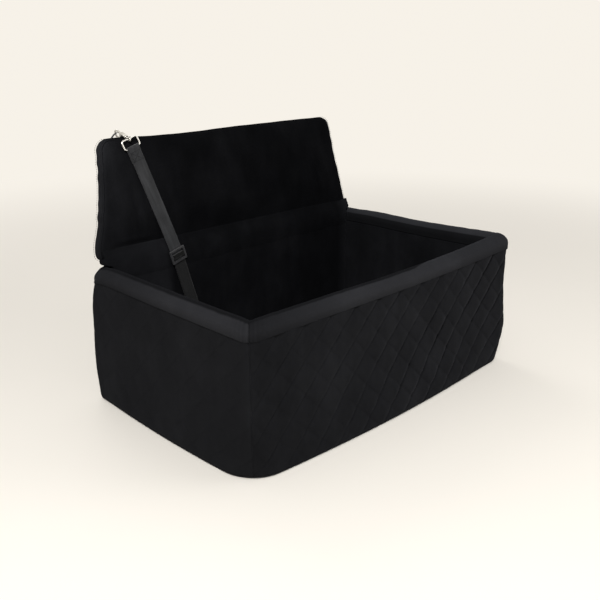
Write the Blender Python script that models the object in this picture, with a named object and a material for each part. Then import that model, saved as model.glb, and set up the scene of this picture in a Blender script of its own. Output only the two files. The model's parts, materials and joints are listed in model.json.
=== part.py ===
"""Dog car seat: a quilted padded box with a folding plush backrest, a loose cushion and a leash strap.

X runs along the front wall, Y from the front wall to the backrest and Z up. The origin is the centre of the
underside, on the surface that the seat stands on. All lengths are in metres.
"""

from math import ceil, copysign, cos, hypot, pi, radians, sin, sqrt, tan

import bmesh
import bpy
from mathutils import Matrix, Vector

# Whole seat
BOX_LENGTH = 0.660
BOX_DEPTH = 0.420
WALL_HEIGHT = 0.250
WALL_THICKNESS = 0.032
SKIN_THICKNESS = 0.0035
WEBBING_WIDTH = 0.025
WEBBING_THICKNESS = 0.0016

# Clearances
GAP = 0.0003  # between pieces that touch
WADDING_GAP = 0.0008  # between a skin and the foam under it
QUILT_GAP = 0.0016  # between a quilted panel and the foam under it
CUT_OVERRUN = 0.002  # how far a cutter runs past what it cuts

# Box corners and edges
CORNER_RADIUS_TOP = 0.018
CORNER_RADIUS_BOTTOM = 0.060
CORNER_BLEND_HEIGHT = 0.075
SHARPEST_RADIUS = 0.002
BOTTOM_EDGE_RADIUS = 0.009
BORDER_DEPTH = 0.0235  # from the rim's top to the border's stitched edge

# Quilting of the outer walls
QUILT_PITCH = 0.056  # from one seam crossing to the next along the wall
QUILT_RELIEF = 0.0022

# Base
BASE_COVER_THICKNESS = 0.003
BASE_BOARD_THICKNESS = 0.015
FLOOR_LINING_THICKNESS = 0.002

# Cushion
CUSHION_CLEARANCE = 0.010  # from the lining all round
CUSHION_THICKNESS = 0.046
CUSHION_CROWN = 0.014
CUSHION_DRAW_IN = 0.007  # how far the middle of each side is drawn in between its corners

# Backrest, in its own frame: X along the hinge, Y to the rear and Z up the panel
BACKREST_END_MARGIN = 0.021  # from each end of the box to the panel's lower corner
BACKREST_TAPER = 0.032  # how far each end is drawn in at the top
BACKREST_HEIGHT = 0.1974
BACKREST_THICKNESS = 0.028
BACKREST_CORNER_LOW = 0.009
BACKREST_CORNER_TOP = 0.022
BACKREST_CROWN = 0.005
BACKREST_CROWN_REACH = 0.070
BACKREST_REAR_CROWN = 0.002
BACKREST_LEAN = radians(9)
HINGE_SETBACK = 0.026  # of the hinge line from the rear wall's outer face
HINGE_RISE = 0.012  # from the rim's top to the hinge line
HINGE_PIPING_RADIUS = 0.0015
HINGE_STRIP_THICKNESS = 0.0025
HINGE_END_MARGIN = 0.008
FOLD_COVER_THICKNESS = 0.0012
FOLD_COVER_DROP = 0.034  # from the rim's top down to its lower edge
FOLD_COVER_RISE = 0.016  # from the hinge line up to its upper edge
FOLD_COVER_CLEARANCE = 0.002  # at each end, from the side wall's lining

# Leash strap
LEASH_END_MARGIN = 0.160  # from the left wall's outer face to where the strap crosses the hinge line
LEASH_SLANT = radians(16.6)
LEASH_PATCH_HEIGHT = 0.030

# Leash slider, a three-bar adjuster that hangs at the rim
SLIDER_DROP = 0.023  # from the hinge line to its middle
SLIDER_LENGTH = 0.026
SLIDER_BAR = 0.0042
SLIDER_RAIL = 0.0036
SLIDER_THICKNESS = 0.0032
SLIDER_EDGE_RADIUS = 0.0008

# Leash eye, the wire loop at the top of the strap
EYE_HEIGHT = 0.0125
EYE_WIRE_RADIUS = 0.0015
EYE_SIDE_MARGIN = 0.0036  # from the webbing's edge to the middle of the wire
EYE_CORNER_RADIUS = 0.0032
EYE_NOTCH_WIDTH = 0.010
EYE_NOTCH_DEPTH = 0.0016
EYE_NOTCH_RADIUS = 0.0022
EYE_TOP_MARGIN = 0.0143  # from the panel's top edge down to the eye's bar
EYE_TILT = radians(6)

# Hook behind the eye, in its own frame: Z along the swivel, Y towards the hook's mouth
HOOK_TILT = radians(54)
POST_RING_RADIUS = 0.0032
POST_RING_WIRE = 0.0011
POST_RADIUS = 0.0017
POST_HEAD_RADIUS = 0.0024
POST_HEAD_LENGTH = 0.0016
BARREL_RADIUS = 0.0038
BARREL_START = 0.0070
BARREL_LENGTH = 0.0150
BARREL_COLLAR = 0.0016
BARREL_CHAMFER = 0.0008
HOOK_WIRE = 0.0018
HOOK_BIGHT_RADIUS = 0.0070
HOOK_REACH = 0.0070  # from the barrel's end to where the bight begins
HOOK_TIP_LENGTH = 0.0025
GATE_PIVOT_Y = 0.0061
GATE_PIVOT_Z = 0.0202
GATE_HUB_RADIUS = 0.0018
GATE_PIN_RADIUS = 0.0008
GATE_WIDTH = 0.0030
GATE_THICKNESS = 0.0016
GATE_EAR_THICKNESS = 0.0012

# Hanging loop on the backrest's top edge, which the hook is clipped to
HANG_LOOP_WIDTH = 0.0070
HANG_LOOP_THICKNESS = 0.0010
HANG_LOOP_SPAN = 0.030
HANG_LOOP_FOOT = 0.012
HANG_LOOP_LIFT = 0.0025  # of the loop from the middle of the hook's bight

# Fixing strap across the rear of the backrest, and its side-release buckle
STRAP_HEIGHT = 0.115  # above the hinge line
STRAP_END_MARGIN = 0.074  # from each sewn end to the panel's lower corner
STRAP_PATCH_LENGTH = 0.036
FOLD_BACK_LENGTH = 0.024
BUCKLE_WIDTH = 0.033
BUCKLE_THICKNESS = 0.0095
BUCKLE_WALL = 0.0016
BUCKLE_HOUSING_LENGTH = 0.030
BUCKLE_LUG_LENGTH = 0.0095
BUCKLE_BAR = 0.0036
BUCKLE_SLOT = 0.0046
BUCKLE_EDGE_RADIUS = 0.0012
BUCKLE_WINDOW_LENGTH = 0.011
BUCKLE_WINDOW_START = 0.009
BUCKLE_FLANGE = 0.0030
TONGUE_WIDTH = 0.0060
TONGUE_THICKNESS = 0.0030
TONGUE_LENGTH = 0.021
PRONG_THICKNESS = 0.0034
PRONG_ARM = 0.0022
PRONG_HUB_RADIUS = 0.0019
PRONG_PIN_RADIUS = 0.0008
PRONG_BUTTON_PROUD = 0.0016
PRONG_TIP_LENGTH = 0.0030
PRONG_PLAY = 0.0009  # between a button's far end and its window's edge
ADJUSTER_END_MARGIN = 0.115  # from the adjuster's middle to the strap's sewn end

# Shares of a half turn, a half width or a length, for places along a piece
CORNER_STEP_SHARES = (1 / 3, 2 / 3)
RIM_STEPS = 8
EDGE_STEPS = 4
ROD_SIDES = 8
ROUND_STEPS = 16

SIDES = ("front", "right", "rear", "left")

# Colour, roughness and metallic value of each material
MATERIALS = {
    "quilted_velvet": ((0.014, 0.014, 0.016), 0.85, 0.0),
    "border_velvet": ((0.022, 0.022, 0.025), 0.80, 0.0),
    "plush": ((0.008, 0.008, 0.009), 0.95, 0.0),
    "base_cloth": ((0.012, 0.012, 0.013), 0.90, 0.0),
    "foam": ((0.62, 0.60, 0.55), 0.95, 0.0),
    "base_board": ((0.10, 0.10, 0.11), 0.80, 0.0),
    "webbing": ((0.045, 0.045, 0.050), 0.75, 0.0),
    "black_plastic": ((0.012, 0.012, 0.013), 0.45, 0.0),
    "nickel": ((0.62, 0.61, 0.58), 0.25, 1.0),
}


# Scene and materials
def clear_scene():
    for obj in list(bpy.data.objects):
        bpy.data.objects.remove(obj, do_unlink=True)


def make_material(name):
    colour, roughness, metallic = MATERIALS[name]
    made = bpy.data.materials.new(name)
    made.use_nodes = True
    made.diffuse_color = (*colour, 1.0)
    shader = made.node_tree.nodes["Principled BSDF"]
    shader.inputs["Base Color"].default_value = (*colour, 1.0)
    shader.inputs["Roughness"].default_value = roughness
    shader.inputs["Metallic"].default_value = metallic
    return made


def material(name):
    return bpy.data.materials.get(name) or make_material(name)


def add_frame(name, place, parent=None):
    """An empty that carries moving pieces, with its origin on their joint's axis."""
    frame = bpy.data.objects.new(name, None)
    bpy.context.scene.collection.objects.link(frame)
    frame.parent = parent
    frame.matrix_local = place
    return frame


def add_piece(name, points, faces, finish, parent=None):
    """One closed solid as an object, with its faces turned outward and its round faces shaded smooth."""
    mesh = bpy.data.meshes.new(name)
    shape = bmesh.new()
    corners = [shape.verts.new(point) for point in points]
    for face in faces:
        shape.faces.new([corners[index] for index in face])
    bmesh.ops.recalc_face_normals(shape, faces=shape.faces)
    shape.to_mesh(mesh)
    shape.free()
    mesh.materials.append(material(finish))
    mesh.shade_smooth()
    mesh.set_sharp_from_angle(angle=radians(40))
    piece = bpy.data.objects.new(name, mesh)
    bpy.context.scene.collection.objects.link(piece)
    piece.parent = parent
    return piece


def cut(piece, *cutters):
    """Takes each cutter's space out of the piece."""
    for cutter in cutters:
        combine(piece, cutter, "DIFFERENCE")


def join(piece, *others):
    """Makes the piece and the others one body."""
    for other in others:
        combine(piece, other, "UNION")


def combine(piece, tool, operation):
    tool.hide_render = True
    tool.display_type = "WIRE"
    tool.parent = piece.parent
    modifier = piece.modifiers.new(tool.name, "BOOLEAN")
    modifier.operation = operation
    modifier.object = tool
    modifier.solver = "EXACT"


# Shapes
def loft(rings, closed=False):
    """Points and faces of a solid through rings of points, capped unless it closes on itself."""
    size = len(rings[0])
    points = [point for ring in rings for point in ring]
    faces = []
    for low in range(len(rings) if closed else len(rings) - 1):
        high = (low + 1) % len(rings)
        for index in range(size):
            after = (index + 1) % size
            faces.append((low * size + index, low * size + after, high * size + after, high * size + index))
    if not closed:
        faces.append(tuple(range(size)))
        faces.append(tuple(range(len(points) - size, len(points))))
    return points, faces


def circle(radius, sides):
    return [(radius * cos(2 * pi * k / sides), radius * sin(2 * pi * k / sides)) for k in range(sides)]


def turned(profile, sides=ROUND_STEPS):
    """A solid turned about Z from a profile of radii and heights, with flat ends."""
    return loft([[Vector((x, y, height)) for x, y in circle(radius, sides)] for radius, height in profile])


def tube(path, radius, sides=ROD_SIDES, closed=False):
    """A round bar along a path of points, which lies in one plane."""
    count = len(path)
    normal = plane_normal(path)
    rings = []
    for index, point in enumerate(path):
        before = path[index - 1] if closed or index else point
        after = path[(index + 1) % count] if closed or index < count - 1 else point
        along = (after - before).normalized()
        side = along.cross(normal)
        rings.append([point + side * x + normal * y for x, y in circle(radius, sides)])
    return loft(rings, closed)


def plane_normal(path):
    first = path[1] - path[0]
    return max((first.cross(point - path[0]) for point in path[2:]), key=lambda v: v.length).normalized()


def cross_bar(centre, ends, radius, sides=ROD_SIDES):
    """A round bar along X between two ends, through a centre."""
    return loft([[centre + Vector((x, y, z)) for y, z in circle(radius, sides)] for x in ends])


def upright_bar(centre, ends, radius, sides=ROD_SIDES):
    """A round bar along Y between two ends, through a centre."""
    return loft([[centre + Vector((x, y, z)) for x, z in circle(radius, sides)] for y in ends])


def ribbon(path, normals, width, thickness):
    """A flat band along a path, lying square to the normals."""
    rings = []
    for index, (point, normal) in enumerate(zip(path, normals)):
        before = path[max(index - 1, 0)]
        after = path[min(index + 1, len(path) - 1)]
        along = (after - before).normalized()
        across = along.cross(normal).normalized() * (width / 2)
        up = across.cross(along).normalized() * (thickness / 2)
        rings.append([point - across - up, point + across - up, point + across + up, point - across + up])
    return loft(rings)


def box(size, centre=(0, 0, 0)):
    x, y, z = (side / 2 for side in size)
    low = [Vector((sx * x, sy * y, -z)) + Vector(centre) for sx, sy in ((-1, -1), (1, -1), (1, 1), (-1, 1))]
    high = [point + Vector((0, 0, 2 * z)) for point in low]
    return loft([low, high])


def rounded_polygon(corners, radii, steps):
    """The outline of a convex polygon with each corner rounded to its radius."""
    outline = []
    for index, corner in enumerate(corners):
        to_before = (corners[index - 1] - corner).normalized()
        to_after = (corners[(index + 1) % len(corners)] - corner).normalized()
        half_angle = to_before.angle(to_after) / 2
        inward = (to_before + to_after).normalized()
        centre = corner + inward * (radii[index] / sin(half_angle))
        first = corner + to_before * (radii[index] / tan(half_angle)) - centre
        last = corner + to_after * (radii[index] / tan(half_angle)) - centre
        turn = pi - 2 * half_angle
        for step in range(steps + 1):
            share = step / steps
            from_first = first * (sin((1 - share) * turn) / sin(turn))
            from_last = last * (sin(share * turn) / sin(turn))
            outline.append(centre + from_first + from_last)
    return outline


def with_extra_points(outline, longest):
    """The outline with points added along edges that are longer than the given length."""
    dense = []
    for index, point in enumerate(outline):
        after = outline[(index + 1) % len(outline)]
        pieces = ceil((after - point).length / longest)
        dense += [point.lerp(after, k / pieces) for k in range(pieces)]
    return dense


def soften(piece, radius, segments=2):
    bevel = piece.modifiers.new("edges", "BEVEL")
    bevel.width = radius
    bevel.segments = segments
    bevel.limit_method = "ANGLE"
    bevel.angle_limit = radians(50)


# Box outline
def corner_radius(z):
    share = min(z / CORNER_BLEND_HEIGHT, 1)
    return CORNER_RADIUS_BOTTOM + (CORNER_RADIUS_TOP - CORNER_RADIUS_BOTTOM) * share


def edge_inset(z):
    """How far the rounded bottom edge lies inside the wall's face at a height."""
    below = max(BOTTOM_EDGE_RADIUS - z, 0)
    return BOTTOM_EDGE_RADIUS - sqrt(BOTTOM_EDGE_RADIUS**2 - below**2)


def wall_reaches(side):
    """Half the length of a wall, and how far its face lies from the middle of the seat."""
    if side in ("front", "rear"):
        return BOX_LENGTH / 2, BOX_DEPTH / 2
    return BOX_DEPTH / 2, BOX_LENGTH / 2


def to_world(side, along, out, z):
    return Matrix.Rotation(SIDES.index(side) * pi / 2, 4, "Z") @ Vector((along, -out, z))


def wall_stations():
    """Places along a wall: a share of its straight half, and a share of the eighth turn at its end."""
    ends = [(1, 0), *((1, share) for share in CORNER_STEP_SHARES), (1, 1)]
    return [(-straight, -turn) for straight, turn in reversed(ends)] + ends


def wall_point(side, station, z, inset, gap=GAP):
    """A point of a wall at a station and a height, at a depth under its outer face."""
    straight_share, turn_share = station
    half, reach = wall_reaches(side)
    depth = inset + edge_inset(z)
    radius = max(corner_radius(z) - depth, SHARPEST_RADIUS)
    angle = turn_share * pi / 4
    along = straight_share * (half - depth - radius) + radius * sin(angle)
    out = reach - depth - radius + radius * cos(angle)
    if abs(turn_share) == 1:
        along -= copysign(gap, turn_share)
    return to_world(side, along, out, z)


def quilt_point(side, x, z, inset):
    """A point of a quilted wall, with X measured along its outer face and round its corners."""
    half, reach = wall_reaches(side)
    edge = edge_inset(z)
    radius = corner_radius(z) - edge
    straight = half - edge - radius
    run = x * (straight + radius * pi / 4 - GAP) / half
    turn = max(abs(run) - straight, 0) / radius
    along = copysign(min(abs(run), straight) + (radius - inset) * sin(turn), run)
    out = reach - edge - radius + (radius - inset) * cos(turn)
    return to_world(side, along, out, z)


def level_outline(z, inset):
    """The whole box's outline at a height, anticlockwise."""
    stations = wall_stations()[:-1]
    return [wall_point(side, station, z, inset, gap=0) for side in SIDES for station in stations]


def wall_sweep(side, profile):
    """A solid along a wall from a profile of depths and heights."""
    stations = wall_stations()
    return loft([[wall_point(side, station, z, inset) for inset, z in profile] for station in stations])


# Box heights that several pieces share
BOARD_BOTTOM = BASE_COVER_THICKNESS + GAP
FLOOR_BOTTOM = BOARD_BOTTOM + BASE_BOARD_THICKNESS + GAP
FLOOR_TOP = FLOOR_BOTTOM + FLOOR_LINING_THICKNESS
RIM_RADIUS = WALL_THICKNESS / 2
RIM_CENTRE_Z = WALL_HEIGHT - RIM_RADIUS
BORDER_BOTTOM = WALL_HEIGHT - BORDER_DEPTH
FOAM_INSET = SKIN_THICKNESS + WADDING_GAP
FOAM_RADIUS = RIM_RADIUS - FOAM_INSET
REAR_LINING_Y = BOX_DEPTH / 2 - WALL_THICKNESS


def rim_arc(radius, steps=RIM_STEPS):
    """The half round at a wall's top, from its outer face to its inner face."""
    turns = [pi * k / steps for k in range(steps + 1)]
    return [(RIM_RADIUS - radius * cos(turn), RIM_CENTRE_Z + radius * sin(turn)) for turn in turns]


def pillow_share(x, z):
    """How far a place lies from its nearest seam: 0 on the seam and 1 in the middle of a diamond."""
    rising = (x + z) / QUILT_PITCH
    falling = (x - z) / QUILT_PITCH
    return 2 * min(abs(rising - round(rising)), abs(falling - round(falling)))


def quilt_sheet(half, bottom, top, uprights, levels):
    """A flat sheet of diamonds, each four triangles round its middle, cut to a wall's size."""
    cell = QUILT_PITCH / 2
    columns = ceil(half / cell) + 1
    rows = ceil(top / cell) + 1
    sheet = bmesh.new()
    crossings = {}
    for i in range(-columns - 1, columns + 2):
        for j in range(-2, rows + 2):
            crossings[i, j] = sheet.verts.new((i * cell, 0, j * cell))
    for i in range(-columns, columns + 1):
        for j in range(-1, rows + 1):
            if (i + j) % 2:
                neighbours = ((i + 1, j), (i, j + 1), (i - 1, j), (i, j - 1))
                around = [crossings[place] for place in neighbours]
                for first, second in zip(around, around[1:] + around[:1]):
                    sheet.faces.new((crossings[i, j], first, second))
    ends = [((half, 0, 0), (1, 0, 0)), ((-half, 0, 0), (-1, 0, 0))]
    limits = ends + [((0, 0, top), (0, 0, 1)), ((0, 0, bottom), (0, 0, -1))]
    seams = [((x, 0, 0), (1, 0, 0)) for x in uprights] + [((0, 0, z), (0, 0, 1)) for z in levels]
    for place, normal in limits + seams:
        bmesh.ops.bisect_plane(
            sheet,
            geom=sheet.verts[:] + sheet.edges[:] + sheet.faces[:],
            dist=GAP / 100,
            plane_co=place,
            plane_no=normal,
            clear_outer=(place, normal) in limits,
        )
    bmesh.ops.delete(sheet, geom=[v for v in sheet.verts if not v.link_faces], context="VERTS")
    bmesh.ops.triangulate(sheet, faces=sheet.faces[:])
    return sheet


def closed_sheet(sheet, front, back):
    """A solid between two mappings of a flat sheet."""
    sheet.verts.index_update()
    count = len(sheet.verts)
    points = [front(v.co.x, v.co.z) for v in sheet.verts] + [back(v.co.x, v.co.z) for v in sheet.verts]
    faces = [tuple(v.index for v in face.verts) for face in sheet.faces]
    faces += [tuple(index + count for index in reversed(face)) for face in faces]
    for edge in sheet.edges:
        if len(edge.link_faces) == 1:
            a, b = (v.index for v in edge.verts)
            faces.append((a, b, b + count, a + count))
    return points, faces


# Box pieces
def make_outer_panel(side):
    """The quilted outer skin of a wall, from the border's stitched edge down round the bottom edge."""
    half = wall_reaches(side)[0]
    run = (CORNER_RADIUS_BOTTOM + CORNER_RADIUS_TOP) / 6
    places = [CORNER_RADIUS_TOP / 3, run, 2 * run, 3 * run, 4 * run]
    uprights = [sign * (half - place) for sign in (-1, 1) for place in places]
    levels = [BOTTOM_EDGE_RADIUS / 4, BOTTOM_EDGE_RADIUS / 2, BOTTOM_EDGE_RADIUS, CORNER_BLEND_HEIGHT]
    levels = [z for z in levels if z > BOARD_BOTTOM]
    sheet = quilt_sheet(half, BOARD_BOTTOM, BORDER_BOTTOM - GAP, uprights, levels)

    def front(x, z):
        return quilt_point(side, x, z, QUILT_RELIEF * (1 - pillow_share(x, z)))

    def back(x, z):
        return quilt_point(side, x, z, SKIN_THICKNESS)

    add_piece(f"outer_panel_{side}", *closed_sheet(sheet, front, back), "quilted_velvet")
    sheet.free()


def make_rim_border(side):
    """The smooth border that folds over a wall's round top."""
    outer = [(0, BORDER_BOTTOM), *rim_arc(RIM_RADIUS), (WALL_THICKNESS, BORDER_BOTTOM)]
    inner = [(SKIN_THICKNESS, BORDER_BOTTOM), *rim_arc(RIM_RADIUS - SKIN_THICKNESS)]
    inner.append((WALL_THICKNESS - SKIN_THICKNESS, BORDER_BOTTOM))
    add_piece(f"rim_border_{side}", *wall_sweep(side, outer + inner[::-1]), "border_velvet")


def make_foam_board(side):
    """The foam inside a wall, mitred at the box's corners."""
    feet = [FLOOR_BOTTOM, CORNER_BLEND_HEIGHT]
    profile = [(SKIN_THICKNESS + QUILT_GAP, z) for z in feet] + rim_arc(FOAM_RADIUS)
    profile += [(WALL_THICKNESS - FOAM_INSET, z) for z in reversed(feet)]
    add_piece(f"foam_board_{side}", *wall_sweep(side, profile), "foam")


def make_lining(side):
    """The plush inner skin of a wall, from the floor to the border."""
    levels = [FLOOR_TOP + GAP, CORNER_BLEND_HEIGHT, BORDER_BOTTOM - GAP]
    profile = [(WALL_THICKNESS - SKIN_THICKNESS, z) for z in levels]
    profile += [(WALL_THICKNESS, z) for z in reversed(levels)]
    add_piece(f"lining_{side}", *wall_sweep(side, profile), "plush")


def make_base():
    """The bottom cloth, the board that it wraps and the lining of the floor."""
    edge = BOTTOM_EDGE_RADIUS
    cover = [level_outline(z, 0) for z in (0, edge / 16, edge / 8, BASE_COVER_THICKNESS)]
    add_piece("base_cover", *loft(cover), "base_cloth")
    levels = [BOARD_BOTTOM, edge / 2, edge, BOARD_BOTTOM + BASE_BOARD_THICKNESS]
    add_piece("base_board", *loft([level_outline(z, FOAM_INSET) for z in levels]), "base_board")
    lining = [level_outline(z, WALL_THICKNESS - SKIN_THICKNESS) for z in (FLOOR_BOTTOM, FLOOR_TOP)]
    add_piece("floor_lining", *loft(lining), "plush")


def make_cushion():
    """A loose cushion with a crown and with its sides drawn in between the corners."""
    frame = add_frame("cushion_lift", Matrix.Translation((0, 0, FLOOR_TOP + GAP)))
    inset = WALL_THICKNESS + CUSHION_CLEARANCE
    outline = with_extra_points(level_outline(FLOOR_TOP, inset), BOX_DEPTH / 8)
    half_x = BOX_LENGTH / 2 - inset
    half_y = BOX_DEPTH / 2 - inset

    def drawn_in(point):
        x, y = point.x / half_x, point.y / half_y
        pull_x = CUSHION_DRAW_IN * (1 - y * y) * x**4
        pull_y = CUSHION_DRAW_IN * (1 - x * x) * y**4
        return Vector((point.x - copysign(pull_x, x), point.y - copysign(pull_y, y), 0))

    # Each ring is a share of the outline, a share of the side's height and a share of the crown
    ring_shares = (
        (0.90, 0, 0),
        (0.965, 0.06, 0),
        (0.992, 0.25, 0),
        (1, 0.5, 0),
        (0.992, 0.75, 0),
        (0.965, 0.94, 0.10),
        (0.90, 1, 0.30),
        (0.78, 1, 0.60),
        (0.60, 1, 0.84),
        (0.38, 1, 0.96),
    )
    rings = []
    for outline_share, side_share, crown_share in ring_shares:
        lift = Vector((0, 0, CUSHION_THICKNESS * side_share + CUSHION_CROWN * crown_share))
        rings.append([drawn_in(point) * outline_share + lift for point in outline])
    add_piece("seat_cushion", *loft(rings), "plush", frame)


# Backrest
EDGE_RADIUS = BACKREST_THICKNESS / 2
BACKREST_WIDTH_LOW = BOX_LENGTH - 2 * BACKREST_END_MARGIN
BACKREST_WIDTH_TOP = BACKREST_WIDTH_LOW - 2 * BACKREST_TAPER
HINGE_Y = BOX_DEPTH / 2 - HINGE_SETBACK
HINGE_Z = WALL_HEIGHT + HINGE_RISE
PANEL_BOTTOM = sqrt((EDGE_RADIUS + HINGE_PIPING_RADIUS + GAP) ** 2 - EDGE_RADIUS**2) - EDGE_RADIUS
PANEL_TOP = PANEL_BOTTOM + BACKREST_HEIGHT


def backrest_outline(inset):
    """The panel's outline in X and Z at an inset from its edge, with points along its straight edges."""
    lean_in = (BACKREST_WIDTH_LOW - BACKREST_WIDTH_TOP) / 2 / BACKREST_HEIGHT
    side_inset = inset * hypot(1, lean_in)
    low = BACKREST_WIDTH_LOW / 2 - lean_in * inset - side_inset
    top = BACKREST_WIDTH_TOP / 2 + lean_in * inset - side_inset
    z_low = PANEL_BOTTOM + inset
    z_top = PANEL_TOP - inset
    corners = [Vector(place) for place in ((-low, z_low), (low, z_low), (top, z_top), (-top, z_top))]
    low_radius = max(BACKREST_CORNER_LOW - inset, SHARPEST_RADIUS)
    top_radius = max(BACKREST_CORNER_TOP - inset, SHARPEST_RADIUS)
    outline = rounded_polygon(corners, (low_radius, low_radius, top_radius, top_radius), EDGE_STEPS)
    dense = []
    for index, point in enumerate(outline):
        dense.append(point)
        if index % (EDGE_STEPS + 1) == EDGE_STEPS:
            after = outline[(index + 1) % len(outline)]
            pieces = 3 if index // (EDGE_STEPS + 1) % 2 else 8
            dense += [point.lerp(after, k / pieces) for k in range(1, pieces)]
    return dense


def panel_ring(inset, depth):
    return [Vector((point.x, depth, point.y)) for point in backrest_outline(inset)]


def edge_ring(radius, turn):
    """A ring round the panel's edge: turn 0 faces the front, and half a turn faces the rear."""
    return panel_ring(EDGE_RADIUS - radius * sin(turn), EDGE_RADIUS - radius * cos(turn))


def turns_between(first, last, steps):
    return [first + (last - first) * k / steps for k in range(steps + 1)]


def crown_at(inset, crown, reach):
    return crown * (1 - (1 - min(inset / reach, 1)) ** 2)


def make_backrest_cover(name, crown, front, parent):
    """A skin over one face of the panel and round to its side band, with a soft crown."""
    lap = pi / 4
    inner = EDGE_RADIUS - SKIN_THICKNESS

    def facing(turn):
        return turn if front else pi - turn

    rings = [edge_ring(inner, facing(turn)) for turn in turns_between(0, lap, 2)]
    rings += [edge_ring(EDGE_RADIUS, facing(turn)) for turn in turns_between(lap, 0, 3)]
    for share in (0.2, 0.45, 0.7, 1):
        inset = EDGE_RADIUS + (BACKREST_CROWN_REACH - EDGE_RADIUS) * share
        rise = crown_at(inset - EDGE_RADIUS, crown, BACKREST_CROWN_REACH - EDGE_RADIUS)
        rings.append(panel_ring(inset, -rise if front else BACKREST_THICKNESS + rise))
    add_piece(name, *loft(rings), "plush" if front else "border_velvet", parent)


def make_backrest(parent):
    make_backrest_cover("backrest_front_cover", BACKREST_CROWN, True, parent)
    make_backrest_cover("backrest_rear_cover", BACKREST_REAR_CROWN, False, parent)
    inner = EDGE_RADIUS - SKIN_THICKNESS
    lap = pi / 4 + GAP / inner
    outside = [edge_ring(EDGE_RADIUS, turn) for turn in turns_between(lap, pi - lap, 4)]
    inside = [edge_ring(inner, turn) for turn in turns_between(pi - lap, lap, 4)]
    add_piece("backrest_side_band", *loft(outside + inside, closed=True), "border_velvet", parent)
    core = EDGE_RADIUS - FOAM_INSET
    rings = [edge_ring(core, turn) for turn in turns_between(0, pi, 6)]
    add_piece("backrest_foam", *loft(rings), "foam", parent)
    half = BACKREST_WIDTH_LOW / 2 - HINGE_END_MARGIN
    piping = cross_bar(Vector((0, 0, 0)), (-half, half), HINGE_PIPING_RADIUS)
    add_piece("hinge_piping", *piping, "border_velvet", parent)


def rim_surface_z(y):
    """The height of the rear rim's top surface at a place across it."""
    across = y - (BOX_DEPTH / 2 - RIM_RADIUS)
    return RIM_CENTRE_Z + sqrt(RIM_RADIUS**2 - across**2)


def make_hinge_strip():
    """The cloth strip that stands on the rear rim and carries the backrest's fold line."""
    half = BACKREST_WIDTH_LOW / 2 - HINGE_END_MARGIN
    front = HINGE_Y - HINGE_STRIP_THICKNESS / 2
    rear = HINGE_Y + HINGE_STRIP_THICKNESS / 2
    top = HINGE_Z - HINGE_PIPING_RADIUS - GAP
    low_front, low_rear = rim_surface_z(front) + GAP, rim_surface_z(rear) + GAP
    profile = [(front, low_front), (rear, low_rear), (rear, top), (front, top)]
    rings = [[Vector((x, y, z)) for y, z in profile] for x in (-half, half)]
    add_piece("hinge_strip", *loft(rings), "border_velvet")


FOLD_COVER_Y = REAR_LINING_Y - GAP - FOLD_COVER_THICKNESS / 2


def make_fold_cover(panel_place):
    """The plush cloth in front of the fold, from the rear lining up to the backrest's front."""
    width = BOX_LENGTH - 2 * (WALL_THICKNESS + FOLD_COVER_CLEARANCE)
    run = FOLD_COVER_RISE - PANEL_BOTTOM - EDGE_RADIUS
    rise = crown_at(run, BACKREST_CROWN, BACKREST_CROWN_REACH - EDGE_RADIUS)
    top = panel_place @ Vector((0, -rise - GAP - FOLD_COVER_THICKNESS / 2, FOLD_COVER_RISE))
    path = [Vector((0, FOLD_COVER_Y, z)) for z in (WALL_HEIGHT - FOLD_COVER_DROP, WALL_HEIGHT)]
    path.append(top)
    leans = [Vector((0, -1, 0)), Vector((0, -1, 0)), panel_place.to_3x3() @ Vector((0, -1, 0))]
    add_piece("fold_cover", *ribbon(path, leans, width, FOLD_COVER_THICKNESS), "plush")


# Leash strap
LEASH_HINGE_X = LEASH_END_MARGIN - BOX_LENGTH / 2
LAYER_OFFSET = (WEBBING_THICKNESS + GAP) / 2  # of each of two webbing layers from the plane between them
LEASH_PLANE = -(BACKREST_CROWN + GAP + WEBBING_THICKNESS + GAP / 2)
EYE_BAR_Z = PANEL_TOP - EYE_TOP_MARGIN
EYE_WRAP_RADIUS = EYE_WIRE_RADIUS + GAP + WEBBING_THICKNESS / 2
WALL_STRAP_Y = FOLD_COVER_Y - FOLD_COVER_THICKNESS / 2 - 3 * GAP - WEBBING_THICKNESS / 2
LEASH_END_Z = FLOOR_TOP + 2 * GAP + WEBBING_WIDTH / 2 * sin(LEASH_SLANT)


def leash_on_backrest(run, lift=0.0):
    """A place on the strap on the backrest, by its height and its lift off the strap's plane."""
    return Vector((LEASH_HINGE_X - run * tan(LEASH_SLANT), LEASH_PLANE - lift, run))


def leash_on_wall(z):
    return Vector((LEASH_HINGE_X + (HINGE_Z - z) * tan(LEASH_SLANT), WALL_STRAP_Y, z))


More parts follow.
